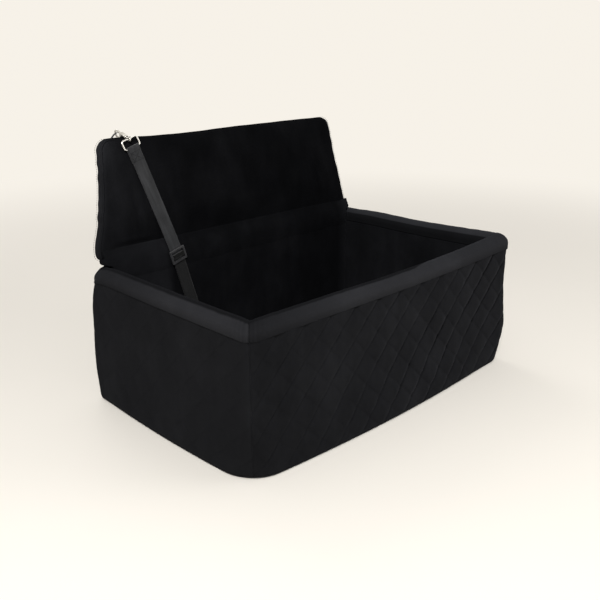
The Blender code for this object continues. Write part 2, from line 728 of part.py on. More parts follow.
def make_leash_webbing(panel_place):
    """The strap: sewn back on itself round the eye's bar, then down to the floor."""
    down = Vector((sin(LEASH_SLANT), 0, -cos(LEASH_SLANT)))
    rear = Vector((0, 1, 0))
    bar = leash_on_backrest(EYE_BAR_Z)
    wrap = EYE_WRAP_RADIUS
    tail = [(WEBBING_WIDTH, LAYER_OFFSET), (2.4 * wrap, LAYER_OFFSET), (wrap, wrap * 0.75)]
    path = [bar + down * run + rear * depth for run, depth in tail]
    normals = [-rear, -rear, -(rear + down / 2).normalized()]
    for turn in turns_between(0, pi, 6):
        outward = rear * cos(turn) - down * sin(turn)
        path.append(bar + outward * wrap)
        normals.append(-outward)
    for run, depth in reversed(tail[1:]):
        path.append(bar + down * run - rear * depth)
        normals.append(rear)
    end_share = 0.075
    path.append(leash_on_backrest(EYE_BAR_Z * end_share, LAYER_OFFSET))
    normals.append(rear)
    path = [panel_place @ point for point in path]
    normals = [panel_place.to_3x3() @ normal for normal in normals]
    for z in (RIM_CENTRE_Z + RIM_RADIUS, RIM_CENTRE_Z, LEASH_END_Z):
        path.append(leash_on_wall(z))
        normals.append(rear)
    add_piece("leash_webbing", *ribbon(path, normals, WEBBING_WIDTH, WEBBING_THICKNESS), "webbing")
    patch_y = WALL_STRAP_Y - WEBBING_THICKNESS - GAP
    patch = [leash_on_wall(z) for z in (LEASH_END_Z + LEASH_PATCH_HEIGHT, LEASH_END_Z)]
    for point in patch:
        point.y = patch_y
    band = ribbon(patch, [rear, rear], WEBBING_WIDTH, WEBBING_THICKNESS)
    add_piece("leash_anchor_patch", *band, "webbing")


def make_three_bar_slider(name, parent, bar_width):
    """A flat frame with a slot each side of its middle bar. Z runs along the strap and Y through it."""
    width = WEBBING_WIDTH + 2 * (GAP + SLIDER_RAIL)
    slot = (SLIDER_LENGTH - 3 * bar_width) / 2
    frame = add_piece(name, *box((width, SLIDER_THICKNESS, SLIDER_LENGTH)), "black_plastic", parent)
    soften(frame, SLIDER_EDGE_RADIUS)
    depth = SLIDER_THICKNESS + 2 * CUT_OVERRUN
    for sign in (-1, 1):
        centre = (0, 0, sign * (bar_width + slot) / 2)
        window = (width - 2 * SLIDER_RAIL, depth, slot)
        cut(frame, add_piece(f"{name}_slot_{sign}", *box(window, centre), "black_plastic"))


def make_slider_loop(name, parent, bar_width, through):
    """The short run of webbing over the middle bar, with both its ends dipping into the slots."""
    rise = SLIDER_THICKNESS / 2 + GAP + WEBBING_THICKNESS / 2
    half_bar = bar_width / 2 + GAP + WEBBING_THICKNESS / 2
    low = SLIDER_THICKNESS / 2 - WEBBING_THICKNESS
    profile = [(-half_bar, low), (-half_bar, -rise / 2), (-half_bar * 0.7, -rise), (half_bar * 0.7, -rise)]
    profile += [(half_bar, -rise / 2), (half_bar, low)]
    path = [Vector((0, y, z)) for z, y in profile]
    turns = (-pi / 2, -pi / 2.6, -pi / 8, pi / 8, pi / 2.6, pi / 2)
    outs = [Vector((0, -cos(turn), sin(turn))) for turn in turns]
    add_piece(name, *ribbon(path, outs, through, WEBBING_THICKNESS), "webbing", parent)


def make_leash_slider():
    centre = leash_on_wall(HINGE_Z - SLIDER_DROP)
    centre.y -= WEBBING_THICKNESS / 2 + GAP + SLIDER_THICKNESS / 2
    place = Matrix.Translation(centre) @ Matrix.Rotation(-LEASH_SLANT, 4, "Y")
    frame = add_frame("leash_slider_frame", place)
    make_three_bar_slider("leash_slider", frame, SLIDER_BAR)
    make_slider_loop("leash_slider_loop", frame, SLIDER_BAR, WEBBING_WIDTH - 2 * GAP)


def leash_place(height, tilt):
    """A frame on the strap's line on the backrest, with Z up along the strap, tipped back by the tilt."""
    place = Matrix.Translation(leash_on_backrest(height))
    return place @ Matrix.Rotation(-LEASH_SLANT, 4, "Y") @ Matrix.Rotation(-tilt, 4, "X")


def make_leash_eye(parent):
    """The rectangular wire loop that the strap is sewn to, notched for the swivel's ring."""
    half = WEBBING_WIDTH / 2 + EYE_SIDE_MARGIN
    notch = EYE_NOTCH_WIDTH / 2
    dip = EYE_HEIGHT - EYE_NOTCH_DEPTH
    corners = [(-half, 0), (half, 0), (half, EYE_HEIGHT), (notch, EYE_HEIGHT)]
    corners += [(0, dip), (-notch, EYE_HEIGHT), (-half, EYE_HEIGHT)]
    bend, soft = EYE_CORNER_RADIUS, EYE_NOTCH_RADIUS
    radii = (bend, bend, bend, soft, soft, soft, bend)
    outline = rounded_polygon([Vector(corner) for corner in corners], radii, 3)
    frame = add_frame("leash_eye_frame", leash_place(EYE_BAR_Z, EYE_TILT), parent)
    path = [Vector((point.x, 0, point.y)) for point in outline]
    add_piece("leash_eye", *tube(path, EYE_WIRE_RADIUS, closed=True), "nickel", frame)


def hook_place():
    """The hook's frame: its origin is in the eye's notch, and Z runs along the swivel."""
    eye = leash_place(EYE_BAR_Z, EYE_TILT)
    notch = eye @ Vector((0, 0, EYE_HEIGHT - EYE_NOTCH_DEPTH))
    turn = Matrix.Rotation(-LEASH_SLANT, 4, "Y") @ Matrix.Rotation(-HOOK_TILT, 4, "X")
    return Matrix.Translation(notch) @ turn


def make_swivel_post(parent):
    """The post that turns in the hook's barrel: a ring through the eye, a shank and a head."""
    frame = add_frame("swivel_post_frame", hook_place(), parent)
    ring = [Vector((0, y, z)) for y, z in circle(POST_RING_RADIUS, ROUND_STEPS)]
    post = add_piece("swivel_post", *tube(ring, POST_RING_WIRE, closed=True), "nickel", frame)
    start = POST_RING_RADIUS
    neck = BARREL_START + BARREL_COLLAR + GAP
    shank = [(POST_RADIUS, start), (POST_RADIUS, neck)]
    shank += [(POST_HEAD_RADIUS, neck), (POST_HEAD_RADIUS, neck + POST_HEAD_LENGTH)]
    join(post, add_piece("swivel_shank", *turned(shank), "nickel"))


def hook_path():
    """The hook's middle line in Y and Z: out of the barrel, round the bight and back to its tip."""
    start = BARREL_START + BARREL_LENGTH - HOOK_WIRE
    bight = BARREL_START + BARREL_LENGTH + HOOK_REACH
    path = [Vector((0, 0, start)), Vector((0, 0, bight))]
    for turn in turns_between(0, pi, 8)[1:]:
        path.append(Vector((0, HOOK_BIGHT_RADIUS * (1 - cos(turn)), bight + HOOK_BIGHT_RADIUS * sin(turn))))
    path.append(Vector((0, 2 * HOOK_BIGHT_RADIUS, bight - HOOK_TIP_LENGTH)))
    return path


def make_hook(parent):
    """The hook: a barrel round the post's head, the bight and two ears with the gate's pin."""
    frame = add_frame("hook_frame", hook_place(), parent)
    bore = POST_RADIUS + GAP
    chamber = POST_HEAD_RADIUS + GAP
    low = BARREL_START
    top = BARREL_START + BARREL_LENGTH
    collar = low + BARREL_COLLAR
    ceiling = collar + POST_HEAD_LENGTH + 3 * GAP
    edge = BARREL_CHAMFER
    profile = [(chamber, ceiling), (chamber, collar), (bore, collar), (bore, low)]
    profile += [(BARREL_RADIUS - edge, low), (BARREL_RADIUS, low + edge)]
    profile += [(BARREL_RADIUS, top - edge), (BARREL_RADIUS - edge, top)]
    hook = add_piece("snap_hook", *turned(profile), "nickel", frame)
    join(hook, add_piece("hook_bight", *tube(hook_path(), HOOK_WIRE), "nickel"))
    pivot = Vector((0, GATE_PIVOT_Y, GATE_PIVOT_Z))
    offset = GATE_WIDTH / 2 + GAP + GATE_EAR_THICKNESS / 2
    reach = GATE_PIVOT_Y - bore - edge
    for sign in (-1, 1):
        centre = (sign * offset, pivot.y - reach / 2, pivot.z)
        web = box((GATE_EAR_THICKNESS, reach, 2 * GATE_HUB_RADIUS), centre)
        ends = [sign * offset - GATE_EAR_THICKNESS / 2, sign * offset + GATE_EAR_THICKNESS / 2]
        join(
            hook,
            add_piece(f"hook_ear_web_{sign}", *web, "nickel"),
            add_piece(f"hook_ear_{sign}", *cross_bar(pivot, ends, GATE_HUB_RADIUS, ROUND_STEPS), "nickel"),
        )
    span = offset + GATE_EAR_THICKNESS / 4
    join(hook, add_piece("gate_pin", *cross_bar(pivot, (-span, span), GATE_PIN_RADIUS), "nickel"))
    make_gate(frame, pivot)


def make_gate(parent, pivot):
    """The sprung gate: a hub on the pin and an arm that closes the hook's mouth."""
    frame = add_frame("gate_frame", Matrix.Translation(pivot), parent)
    half = GATE_WIDTH / 2
    origin = Vector((0, 0, 0))
    hub = cross_bar(origin, (-half, half), GATE_HUB_RADIUS, ROUND_STEPS)
    gate = add_piece("hook_gate", *hub, "nickel", frame)
    tip = hook_path()[-1] - pivot
    end = Vector((tip.y - HOOK_WIRE - GAP - GATE_THICKNESS / 2, tip.z + HOOK_WIRE / 2))
    along = end.normalized()
    side = Vector((-along.y, along.x)) * (GATE_THICKNESS / 2)
    arm = [side, -side, end - side, end + side]
    profile = [[Vector((x, point.x, point.y)) for point in arm] for x in (-half, half)]
    join(gate, add_piece("gate_arm", *loft(profile), "nickel"))
    reach = half + CUT_OVERRUN
    cut(gate, add_piece("gate_bore", *cross_bar(origin, (-reach, reach), GATE_PIN_RADIUS + GAP), "nickel"))


def make_hanging_loop(parent):
    """The cloth loop on the backrest's top edge that the hook is clipped to."""
    hook = hook_place()
    bight = BARREL_START + BARREL_LENGTH + HOOK_REACH
    middle = hook @ Vector((0, HOOK_BIGHT_RADIUS, bight)) + Vector((0, 0, HANG_LOOP_LIFT))
    half = HANG_LOOP_SPAN / 2
    depth = middle.y
    edge = EDGE_RADIUS - sqrt(EDGE_RADIUS**2 - (depth - HANG_LOOP_WIDTH / 2 - EDGE_RADIUS) ** 2)
    foot = PANEL_TOP - edge + GAP + HANG_LOOP_THICKNESS / 2
    rise = middle.z - foot
    run_shares = (-1, -0.72, -0.36, 0, 0.36, 0.72, 1)
    height_shares = (0, 0, 0.45, 0.88, 1, 0.88, 0.45, 0, 0)
    xs = [-half - HANG_LOOP_FOOT, *(half * share for share in run_shares), half + HANG_LOOP_FOOT]
    path = [Vector((middle.x + x, depth, foot + rise * share)) for x, share in zip(xs, height_shares)]
    slopes = [path[min(k + 1, len(path) - 1)] - path[max(k - 1, 0)] for k in range(len(path))]
    normals = [slope.cross(Vector((0, 1, 0))) * -1 for slope in slopes]
    band = ribbon(path, normals, HANG_LOOP_WIDTH, HANG_LOOP_THICKNESS)
    add_piece("hanging_loop", *band, "webbing", parent)


# Fixing strap and buckle, in a frame at the middle of the buckle's mouth: X along the strap, Y to the rear
STRAP_REACH = BACKREST_WIDTH_LOW / 2 - STRAP_END_MARGIN
ADJUSTER_X = STRAP_REACH - ADJUSTER_END_MARGIN
STRAP_Y = BACKREST_THICKNESS + BACKREST_REAR_CROWN + GAP + WEBBING_THICKNESS / 2
BUCKLE_Y = STRAP_Y + WEBBING_THICKNESS / 2 + GAP + BUCKLE_THICKNESS / 2


def strap_half(sign, bar_inner, bar_outer):
    """Webbing from its sewn end to a bar, under it, up through the slot and back over it."""
    lift = BUCKLE_THICKNESS + 2 * GAP + WEBBING_THICKNESS
    slot = bar_inner - GAP - WEBBING_THICKNESS / 2
    bend = WEBBING_THICKNESS / 2 + GAP
    profile = [(STRAP_REACH, 0), (slot + bend, 0), (slot, bend), (slot, lift - bend), (slot + bend, lift)]
    profile.append((bar_outer + FOLD_BACK_LENGTH, lift))
    path = [Vector((sign * x, STRAP_Y + y, STRAP_HEIGHT)) for x, y in profile]
    turns = (0, pi / 8, 3 * pi / 8, 5 * pi / 8, 7 * pi / 8, pi)
    normals = [Vector((sign * -sin(turn), -cos(turn), 0)) for turn in turns]
    return ribbon(path, normals, WEBBING_WIDTH, WEBBING_THICKNESS)


def make_fixing_strap(parent):
    """The strap's two halves, the patches that sew them to the cover, and the buckle between them."""
    housing_bar = BUCKLE_HOUSING_LENGTH + BUCKLE_LUG_LENGTH - BUCKLE_BAR
    male_bar = BUCKLE_FLANGE + BUCKLE_LUG_LENGTH - BUCKLE_BAR
    right = strap_half(1, housing_bar, housing_bar + BUCKLE_BAR)
    left = strap_half(-1, male_bar, male_bar + BUCKLE_BAR)
    add_piece("fixing_strap_right", *right, "webbing", parent)
    add_piece("fixing_strap_left", *left, "webbing", parent)
    for name, sign in (("right", 1), ("left", -1)):
        y = STRAP_Y + WEBBING_THICKNESS + GAP
        ends = (STRAP_REACH - STRAP_PATCH_LENGTH, STRAP_REACH)
        path = [Vector((sign * x, y, STRAP_HEIGHT)) for x in ends]
        patch = ribbon(path, [Vector((0, 1, 0))] * 2, WEBBING_WIDTH, WEBBING_THICKNESS)
        add_piece(f"fixing_patch_{name}", *patch, "webbing", parent)
    frame = add_frame("buckle_frame", Matrix.Translation((0, BUCKLE_Y, STRAP_HEIGHT)), parent)
    make_buckle_housing(frame)
    make_buckle_male(frame)
    place = Matrix.Translation((ADJUSTER_X, BUCKLE_Y, STRAP_HEIGHT)) @ Matrix.Rotation(pi / 2, 4, "Y")
    lift = SLIDER_THICKNESS / 2 - BUCKLE_THICKNESS / 2
    turned_over = Matrix.Translation((0, lift, 0)) @ Matrix.Rotation(pi, 4, "Z")
    adjuster = add_frame("strap_adjuster_frame", place @ turned_over, parent)
    make_three_bar_slider("strap_adjuster", adjuster, SLIDER_BAR)
    make_slider_loop("strap_adjuster_loop", adjuster, SLIDER_BAR, WEBBING_WIDTH - 2 * GAP)


def make_buckle_housing(parent):
    """The buckle's female half: a shell open at its mouth, with a window for each prong's button."""
    length = BUCKLE_HOUSING_LENGTH + BUCKLE_LUG_LENGTH
    block = box((length, BUCKLE_THICKNESS, BUCKLE_WIDTH), (length / 2, 0, 0))
    housing = add_piece("buckle_housing", *block, "black_plastic", parent)
    soften(housing, BUCKLE_EDGE_RADIUS)
    inner = BUCKLE_HOUSING_LENGTH - BUCKLE_WALL - BUCKLE_SLOT
    cavity = (inner + CUT_OVERRUN, BUCKLE_THICKNESS - 2 * BUCKLE_WALL, BUCKLE_WIDTH - 2 * BUCKLE_WALL)
    centre = ((inner - CUT_OVERRUN) / 2, 0, 0)
    window_size = (BUCKLE_WINDOW_LENGTH, cavity[1], BUCKLE_WIDTH + 2 * CUT_OVERRUN)
    window_centre = (BUCKLE_WINDOW_START + BUCKLE_WINDOW_LENGTH / 2, 0, 0)
    slot = (BUCKLE_SLOT, BUCKLE_THICKNESS + 2 * CUT_OVERRUN, WEBBING_WIDTH + 2 * GAP)
    slot_centre = (length - BUCKLE_BAR - BUCKLE_SLOT / 2, 0, 0)
    cut(
        housing,
        add_piece("housing_cavity", *box(cavity, centre), "black_plastic"),
        add_piece("housing_windows", *box(window_size, window_centre), "black_plastic"),
        add_piece("housing_slot", *box(slot, slot_centre), "black_plastic"),
    )


def prong_pivot(sign):
    """Where a prong turns on the male half: X and Z in the buckle's frame."""
    inner_half = BUCKLE_WIDTH / 2 - BUCKLE_WALL - GAP
    return Vector((-BUCKLE_FLANGE / 2, 0, sign * (inner_half - PRONG_HUB_RADIUS)))


def make_buckle_male(parent):
    """The buckle's male half: a flange with the strap's slot, the guide tongue and a pin for each prong."""
    length = BUCKLE_FLANGE + BUCKLE_LUG_LENGTH - GAP
    base_centre = (-GAP - length / 2, 0, 0)
    block = box((length, BUCKLE_THICKNESS, BUCKLE_WIDTH), base_centre)
    male = add_piece("buckle_male", *block, "black_plastic", parent)
    soften(male, BUCKLE_EDGE_RADIUS)
    tongue_length = TONGUE_LENGTH + 2 * GAP + BUCKLE_EDGE_RADIUS
    tongue_centre = (TONGUE_LENGTH - tongue_length / 2, 0, 0)
    tongue = box((tongue_length, TONGUE_THICKNESS, TONGUE_WIDTH), tongue_centre)
    join(male, add_piece("buckle_tongue", *tongue, "black_plastic"))
    slot = (BUCKLE_SLOT, BUCKLE_THICKNESS + 2 * CUT_OVERRUN, WEBBING_WIDTH + 2 * GAP)
    slot_centre = (-(BUCKLE_FLANGE + BUCKLE_LUG_LENGTH) + BUCKLE_BAR + BUCKLE_SLOT / 2, 0, 0)
    cut(male, add_piece("male_slot", *box(slot, slot_centre), "black_plastic"))
    room = 2 * (PRONG_HUB_RADIUS + GAP)
    for sign, name in ((1, "top"), (-1, "bottom")):
        pivot = prong_pivot(sign)
        space = (room + CUT_OVERRUN, PRONG_THICKNESS + 2 * GAP, room + CUT_OVERRUN)
        space_centre = (pivot.x + CUT_OVERRUN / 2, 0, pivot.z + sign * CUT_OVERRUN / 2)
        cut(male, add_piece(f"prong_room_{name}", *box(space, space_centre), "black_plastic"))
        half = PRONG_THICKNESS / 2 + 2 * GAP
        pin = upright_bar(pivot, (-half, half), PRONG_PIN_RADIUS)
        join(male, add_piece(f"prong_pin_{name}", *pin, "black_plastic"))
        make_prong(parent, sign, name, pivot)


def make_prong(parent, sign, name, pivot):
    """A springy prong: a hub on its pin, an arm, a button in the housing's window and a tip."""
    frame = add_frame(f"prong_{name}_frame", Matrix.Translation(pivot), parent)
    half = PRONG_THICKNESS / 2
    origin = Vector((0, 0, 0))
    hub = upright_bar(origin, (-half, half), PRONG_HUB_RADIUS, ROUND_STEPS)
    prong = add_piece(f"buckle_prong_{name}", *hub, "black_plastic", frame)
    cavity_half = BUCKLE_WIDTH / 2 - BUCKLE_WALL - GAP - abs(pivot.z)
    start = BUCKLE_WINDOW_START + GAP - pivot.x
    stop = BUCKLE_WINDOW_START + BUCKLE_WINDOW_LENGTH - PRONG_PLAY - pivot.x
    proud = BUCKLE_WIDTH / 2 + PRONG_BUTTON_PROUD - abs(pivot.z)
    tip = stop + PRONG_TIP_LENGTH
    inside = cavity_half - PRONG_ARM
    outline = [(0, inside), (0, cavity_half), (start, cavity_half), (start, proud * 0.8)]
    outline += [(start + PRONG_ARM, proud), (stop - PRONG_ARM, proud), (stop, proud * 0.7)]
    outline += [(stop, cavity_half), (tip, cavity_half - PRONG_ARM / 2), (tip, inside - PRONG_ARM)]
    outline += [(stop, inside - PRONG_ARM), (start, inside)]
    profile = [[Vector((x, y, sign * z)) for x, z in outline] for y in (-half, half)]
    join(prong, add_piece(f"prong_arm_{name}", *loft(profile), "black_plastic"))
    reach = half + CUT_OVERRUN
    bore = upright_bar(origin, (-reach, reach), PRONG_PIN_RADIUS + GAP)
    cut(prong, add_piece(f"prong_bore_{name}", *bore, "black_plastic"))


def main():
    clear_scene()
    for side in SIDES:
        make_outer_panel(side)
        make_foam_board(side)
        make_lining(side)
        make_rim_border(side)
    make_base()
    make_cushion()
    make_hinge_strip()
    panel_place = Matrix.Translation((0, HINGE_Y, HINGE_Z)) @ Matrix.Rotation(-BACKREST_LEAN, 4, "X")
    backrest = add_frame("backrest_fold", panel_place)
    make_backrest(backrest)
    make_fold_cover(panel_place)
    make_leash_webbing(panel_place)
    make_leash_slider()
    make_leash_eye(backrest)
    make_swivel_post(backrest)
    make_hook(backrest)
    make_hanging_loop(backrest)
    make_fixing_strap(backrest)


main()
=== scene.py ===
"""Dog car seat: the looks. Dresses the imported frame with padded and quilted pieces, webbing and hardware."""

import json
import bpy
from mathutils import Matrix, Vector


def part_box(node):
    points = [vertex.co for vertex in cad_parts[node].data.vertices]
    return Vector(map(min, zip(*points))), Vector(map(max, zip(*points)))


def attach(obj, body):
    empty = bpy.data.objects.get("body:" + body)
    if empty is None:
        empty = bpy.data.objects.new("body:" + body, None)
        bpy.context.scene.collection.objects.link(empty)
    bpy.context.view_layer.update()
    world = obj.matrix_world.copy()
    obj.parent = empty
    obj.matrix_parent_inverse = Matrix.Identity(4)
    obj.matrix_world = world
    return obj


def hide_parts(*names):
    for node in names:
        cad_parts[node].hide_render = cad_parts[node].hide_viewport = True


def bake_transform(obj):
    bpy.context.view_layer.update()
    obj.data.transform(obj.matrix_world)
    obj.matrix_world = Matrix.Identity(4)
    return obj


bl_info = {
    "name": "Dog car seat",
    "version": (1, 0, 0),
    "blender": (4, 5, 0),
    "location": "3D View > Sidebar > Dog Seat",
    "description": "Dresses a packed dog car seat with quilted, plush and webbing pieces",
    "category": "Object",
}

from math import cos, hypot, pi, radians, sin, sqrt

import bmesh
import bpy
import numpy as np
from mathutils import Matrix, Vector
from mathutils.kdtree import KDTree

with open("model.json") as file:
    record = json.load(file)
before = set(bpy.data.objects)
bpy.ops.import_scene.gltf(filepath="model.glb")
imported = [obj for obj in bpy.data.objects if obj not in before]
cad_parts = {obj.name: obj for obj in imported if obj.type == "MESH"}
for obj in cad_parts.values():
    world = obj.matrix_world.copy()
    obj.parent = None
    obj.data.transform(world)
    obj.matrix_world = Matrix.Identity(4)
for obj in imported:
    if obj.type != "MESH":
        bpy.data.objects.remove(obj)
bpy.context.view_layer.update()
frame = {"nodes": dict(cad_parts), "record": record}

SIDES = ("front", "right", "rear", "left")
RIM_TOP = Vector(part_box("rim_border_rear")[1]).z
FLOOR_LOW, FLOOR_HIGH = (Vector(v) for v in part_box("floor_lining"))
CUSHION_LOW, CUSHION_HIGH = (Vector(v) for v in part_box("seat_cushion"))
SLIDER = sum((Vector(v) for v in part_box("leash_slider")), Vector()) / 2
JOINTS = {joint["name"]: joint for joint in frame["record"]["behaviour"]["joints"]}
FOLD = Vector(JOINTS["backrest_fold"]["pos_m"])
SWIVEL = Vector(JOINTS["hook_swivel"]["pos_m"])
PLEAT_PITCH = 0.0085  # of the border's gathers at each corner
LEAN = radians(9)  # of the backrest, to the rear
SLANT = radians(16.6)  # of the leash strap, on the backrest
PANEL = Matrix.Translation(FOLD) @ Matrix.Rotation(-LEAN, 4, "X")


# Properties that a user would change
def length(name, text, default):
    return bpy.props.FloatProperty(name=name, description=text, default=default, unit="LENGTH", precision=4)


def colour(name, text, default):
    return bpy.props.FloatVectorProperty(
        name=name, description=text, default=default, size=3, min=0, max=1, subtype="COLOR"
    )


class SeatSizes(bpy.types.PropertyGroup):
    box_length: length("Box length", "Length of the box along its front wall", 0.660)
    box_depth: length("Box depth", "Depth of the box from front to rear", 0.420)
    wall_height: length("Wall height", "Height of the walls", round(RIM_TOP, 4))
    wall_thickness: length("Wall thickness", "Thickness of a padded wall", 0.032)
    corner_top: length("Upper corner radius", "Corner radius of the box from mid height up", 0.018)
    corner_low: length("Lower corner radius", "Corner radius of the box at the floor", 0.060)
    corner_blend: length("Corner blend height", "Height over which the corner radius changes", 0.075)
    bottom_edge: length("Bottom edge radius", "Rounding of the walls' bottom edge", 0.009)
    border_depth: length("Border depth", "Depth of the smooth border on a wall's outer face", 0.0235)
    quilt_pitch: length("Quilt pitch", "Distance between seam crossings along a wall", 0.056)
    seam_depth: length("Seam depth", "How deep the quilting seams lie", 0.0036)
    quilt_rise: length("Quilt rise", "How far each diamond swells outward", 0.0012)
    backrest_low: length("Backrest lower width", "Width of the backrest at the fold", 0.618)
    backrest_top: length("Backrest upper width", "Width of the backrest at its top edge", 0.554)
    fabric_gap: length("Fabric gap", "Gap left between sewn pieces", 0.0003)
    webbing_width: length("Webbing width", "Width of all webbing", 0.025)
    webbing_thickness: length("Webbing thickness", "Thickness of all webbing", 0.0016)
    thread_radius: length("Thread radius", "Radius of the sewing thread", 0.00035)
    stitch_pitch: length("Stitch pitch", "Distance from stitch to stitch", 0.0040)


class SeatColours(bpy.types.PropertyGroup):
    velvet: colour("Quilted velvet", "Colour of the quilted outer walls", (0.0097, 0.0099, 0.0110))
    border: colour("Border velvet", "Colour of the rim border and backrest's rear", (0.0190, 0.0193, 0.0214))
    plush: colour("Plush", "Colour of the lining, cushion and backrest front", (0.0054, 0.0055, 0.0062))
    cloth: colour("Base cloth", "Colour of the bottom cloth", (0.0100, 0.0100, 0.0108))
    webbing: colour("Webbing", "Colour of the webbing", (0.0250, 0.0255, 0.0272))
    thread: colour("Thread", "Colour of the sewing thread", (0.0050, 0.0050, 0.0055))
    plastic: colour("Plastic", "Colour of the buckle and sliders", (0.0105, 0.0105, 0.0112))
    nickel: colour("Nickel", "Colour of the eye and hook", (0.72, 0.71, 0.68))
    floor: colour("Floor", "Colour of the floor and backdrop", (0.93, 0.885, 0.81))


class SeatCamera(bpy.types.PropertyGroup):
    azimuth: bpy.props.FloatProperty(
        name="Azimuth", description="Direction that the camera looks in", default=radians(44.942), subtype="ANGLE"
    )
    pitch: bpy.props.FloatProperty(
        name="Pitch", description="How far the camera looks down", default=radians(19.4408), subtype="ANGLE"
    )
    place: bpy.props.FloatVectorProperty(
        name="Place", description="Where the camera stands", default=(-0.9457, -0.9236, 0.6213), subtype="XYZ"
    )
    lens: bpy.props.FloatProperty(name="Lens", description="Focal length", default=45.786, unit="CAMERA")


def sizes():
    return bpy.context.scene.seat_sizes


# Materials
FINISHES = {}


class Nodes:
    """A small helper for wiring a material's nodes."""

    def __init__(self, name):
        self.material = bpy.data.materials.new(f"seat_{name}")
        FINISHES[name] = self.material
        self.material.use_nodes = True
        self.tree = self.material.node_tree
        self.shader = self.tree.nodes["Principled BSDF"]

    def set(self, **values):
        for name, value in values.items():
            self.shader.inputs[name.replace("_", " ")].default_value = value

    def add(self, kind, **settings):
        node = self.tree.nodes.new(kind)
        for name, value in settings.items():
            if hasattr(node, name):
                setattr(node, name, value)
            else:
                node.inputs[name.replace("_", " ")].default_value = value
        return node

    def link(self, out, into):
        self.tree.links.new(out, into)

    def feed(self, **outs):
        """Links outputs into the shader."""
        for name, out in outs.items():
            self.link(out, self.shader.inputs[name.replace("_", " ")])

    def place(self, source="Object", scale=(1, 1, 1)):
        mapping = self.add("ShaderNodeMapping")
        mapping.inputs["Scale"].default_value = scale
        self.link(self.add("ShaderNodeTexCoord").outputs[source], mapping.inputs["Vector"])
        return mapping.outputs["Vector"]

    def noise(self, vector, scale, detail=3.0, roughness=0.55):
        node = self.add("ShaderNodeTexNoise", Scale=scale, Detail=detail, Roughness=roughness)
        self.link(vector, node.inputs["Vector"])
        return node.outputs["Fac"]

    def ramp(self, value, stops):
        node = self.add("ShaderNodeValToRGB")
        elements = node.color_ramp.elements
        while len(elements) < len(stops):
            elements.new(0.5)
        for element, (place, shade) in zip(elements, stops):
            element.position = place
            element.color = (*shade, 1.0)
        self.link(value, node.inputs["Fac"])
        return node.outputs["Color"]

    def math(self, operation, a, b):
        node = self.add("ShaderNodeMath", operation=operation)
        for socket, value in zip(node.inputs, (a, b)):
            if isinstance(value, (int, float)):
                socket.default_value = value
            else:
                self.link(value, socket)
        return node.outputs["Value"]

    def multiply(self, tone, factor):
        """A colour scaled by a factor."""
        node = self.add("ShaderNodeVectorMath", operation="SCALE")
        self.link(tone, node.inputs[0])
        self.link(factor, node.inputs["Scale"])
        return node.outputs["Vector"]

    def bump(self, height, distance, strength=1.0, after=None):
        node = self.add("ShaderNodeBump", Strength=strength, Distance=distance)
        self.link(height, node.inputs["Height"])
        if after is not None:
            self.link(after, node.inputs["Normal"])
        return node.outputs["Normal"]


def shade(base, factor):
    return tuple(min(1.0, channel * factor) for channel in base)


def pile_cloth(name, base, pile, depth, patch, sheen, lift, shading=None, contrast=1.0):
    """Velvet or plush: fine pile in the bump, brushed patches in the colour and a soft sheen."""
    made = Nodes(name)
    made.set(Roughness=0.92, Sheen_Weight=sheen, Sheen_Roughness=0.4, Sheen_Tint=(*shade(base, lift), 1.0))
    made.set(Specular_IOR_Level=0.0)
    here = made.place()
    patches = made.noise(here, patch, 4.0)
    brushed = made.noise(made.place(scale=(1, 1, 0.35)), patch * 4.5, 3.0)
    mixed = made.math("ADD", made.math("MULTIPLY", patches, 0.65), made.math("MULTIPLY", brushed, 0.35))
    stops = [(0.30, shade(base, 1 - 0.34 * contrast)), (0.50, base), (0.70, shade(base, 1 + 0.6 * contrast))]
    tone = made.ramp(mixed, stops)
    # A shading multiplies painted light and shade into the colour, and scales the sheen with it.
    if shading is not None:
        painted_factor = shading(made)
        tone = made.multiply(tone, painted_factor)
        made.feed(Sheen_Weight=made.math("MULTIPLY", painted_factor, sheen))
    made.feed(Base_Color=tone)
    tufts = made.noise(here, pile, 2.0, 0.7)
    soft = made.bump(patches, depth * 6, 0.35)
    made.feed(Normal=made.bump(tufts, depth, 0.9, soft))
    return made.material


def mapped_shading(made):
    """Darkens and lightens the colour by painted light and shade stored on the cloth."""
    return made.add("ShaderNodeAttribute", attribute_name="painted_tone").outputs["Fac"]


def shading_along(*stops):
    """Painted light and shade along X. Each stop is a place in metres and a factor."""

    def shading(made):
        across = made.add("ShaderNodeSeparateXYZ")
        made.link(made.place(), across.inputs["Vector"])
        share = made.add("ShaderNodeMapRange", From_Min=-0.33, From_Max=0.33)
        made.link(across.outputs["X"], share.inputs["Value"])
        grey = [((x + 0.33) / 0.66, (factor / 2,) * 3) for x, factor in stops]
        return made.math("MULTIPLY", made.ramp(share.outputs["Result"], grey), 2)

    return shading


def store_painted_tones(piece, points, painted_tones):
    """Stores each point's painted light and shade on the cloth, matched by place because the shell's points were
    merged.
    """
    tree = KDTree(painted_tones.size)
    for index, point in enumerate(points.reshape(-1, 3)):
        tree.insert(point, index)
    tree.balance()
    flat = painted_tones.ravel()
    values = [flat[tree.find(point)[1]] for point in coordinates(piece)]
    layer = piece.data.attributes.new("painted_tone", "FLOAT", "POINT")
    layer.data.foreach_set("value", np.asarray(values, dtype=np.float32))


WAVE = 2 * pi / 20  # a wave texture's scale times its period, for its default profile


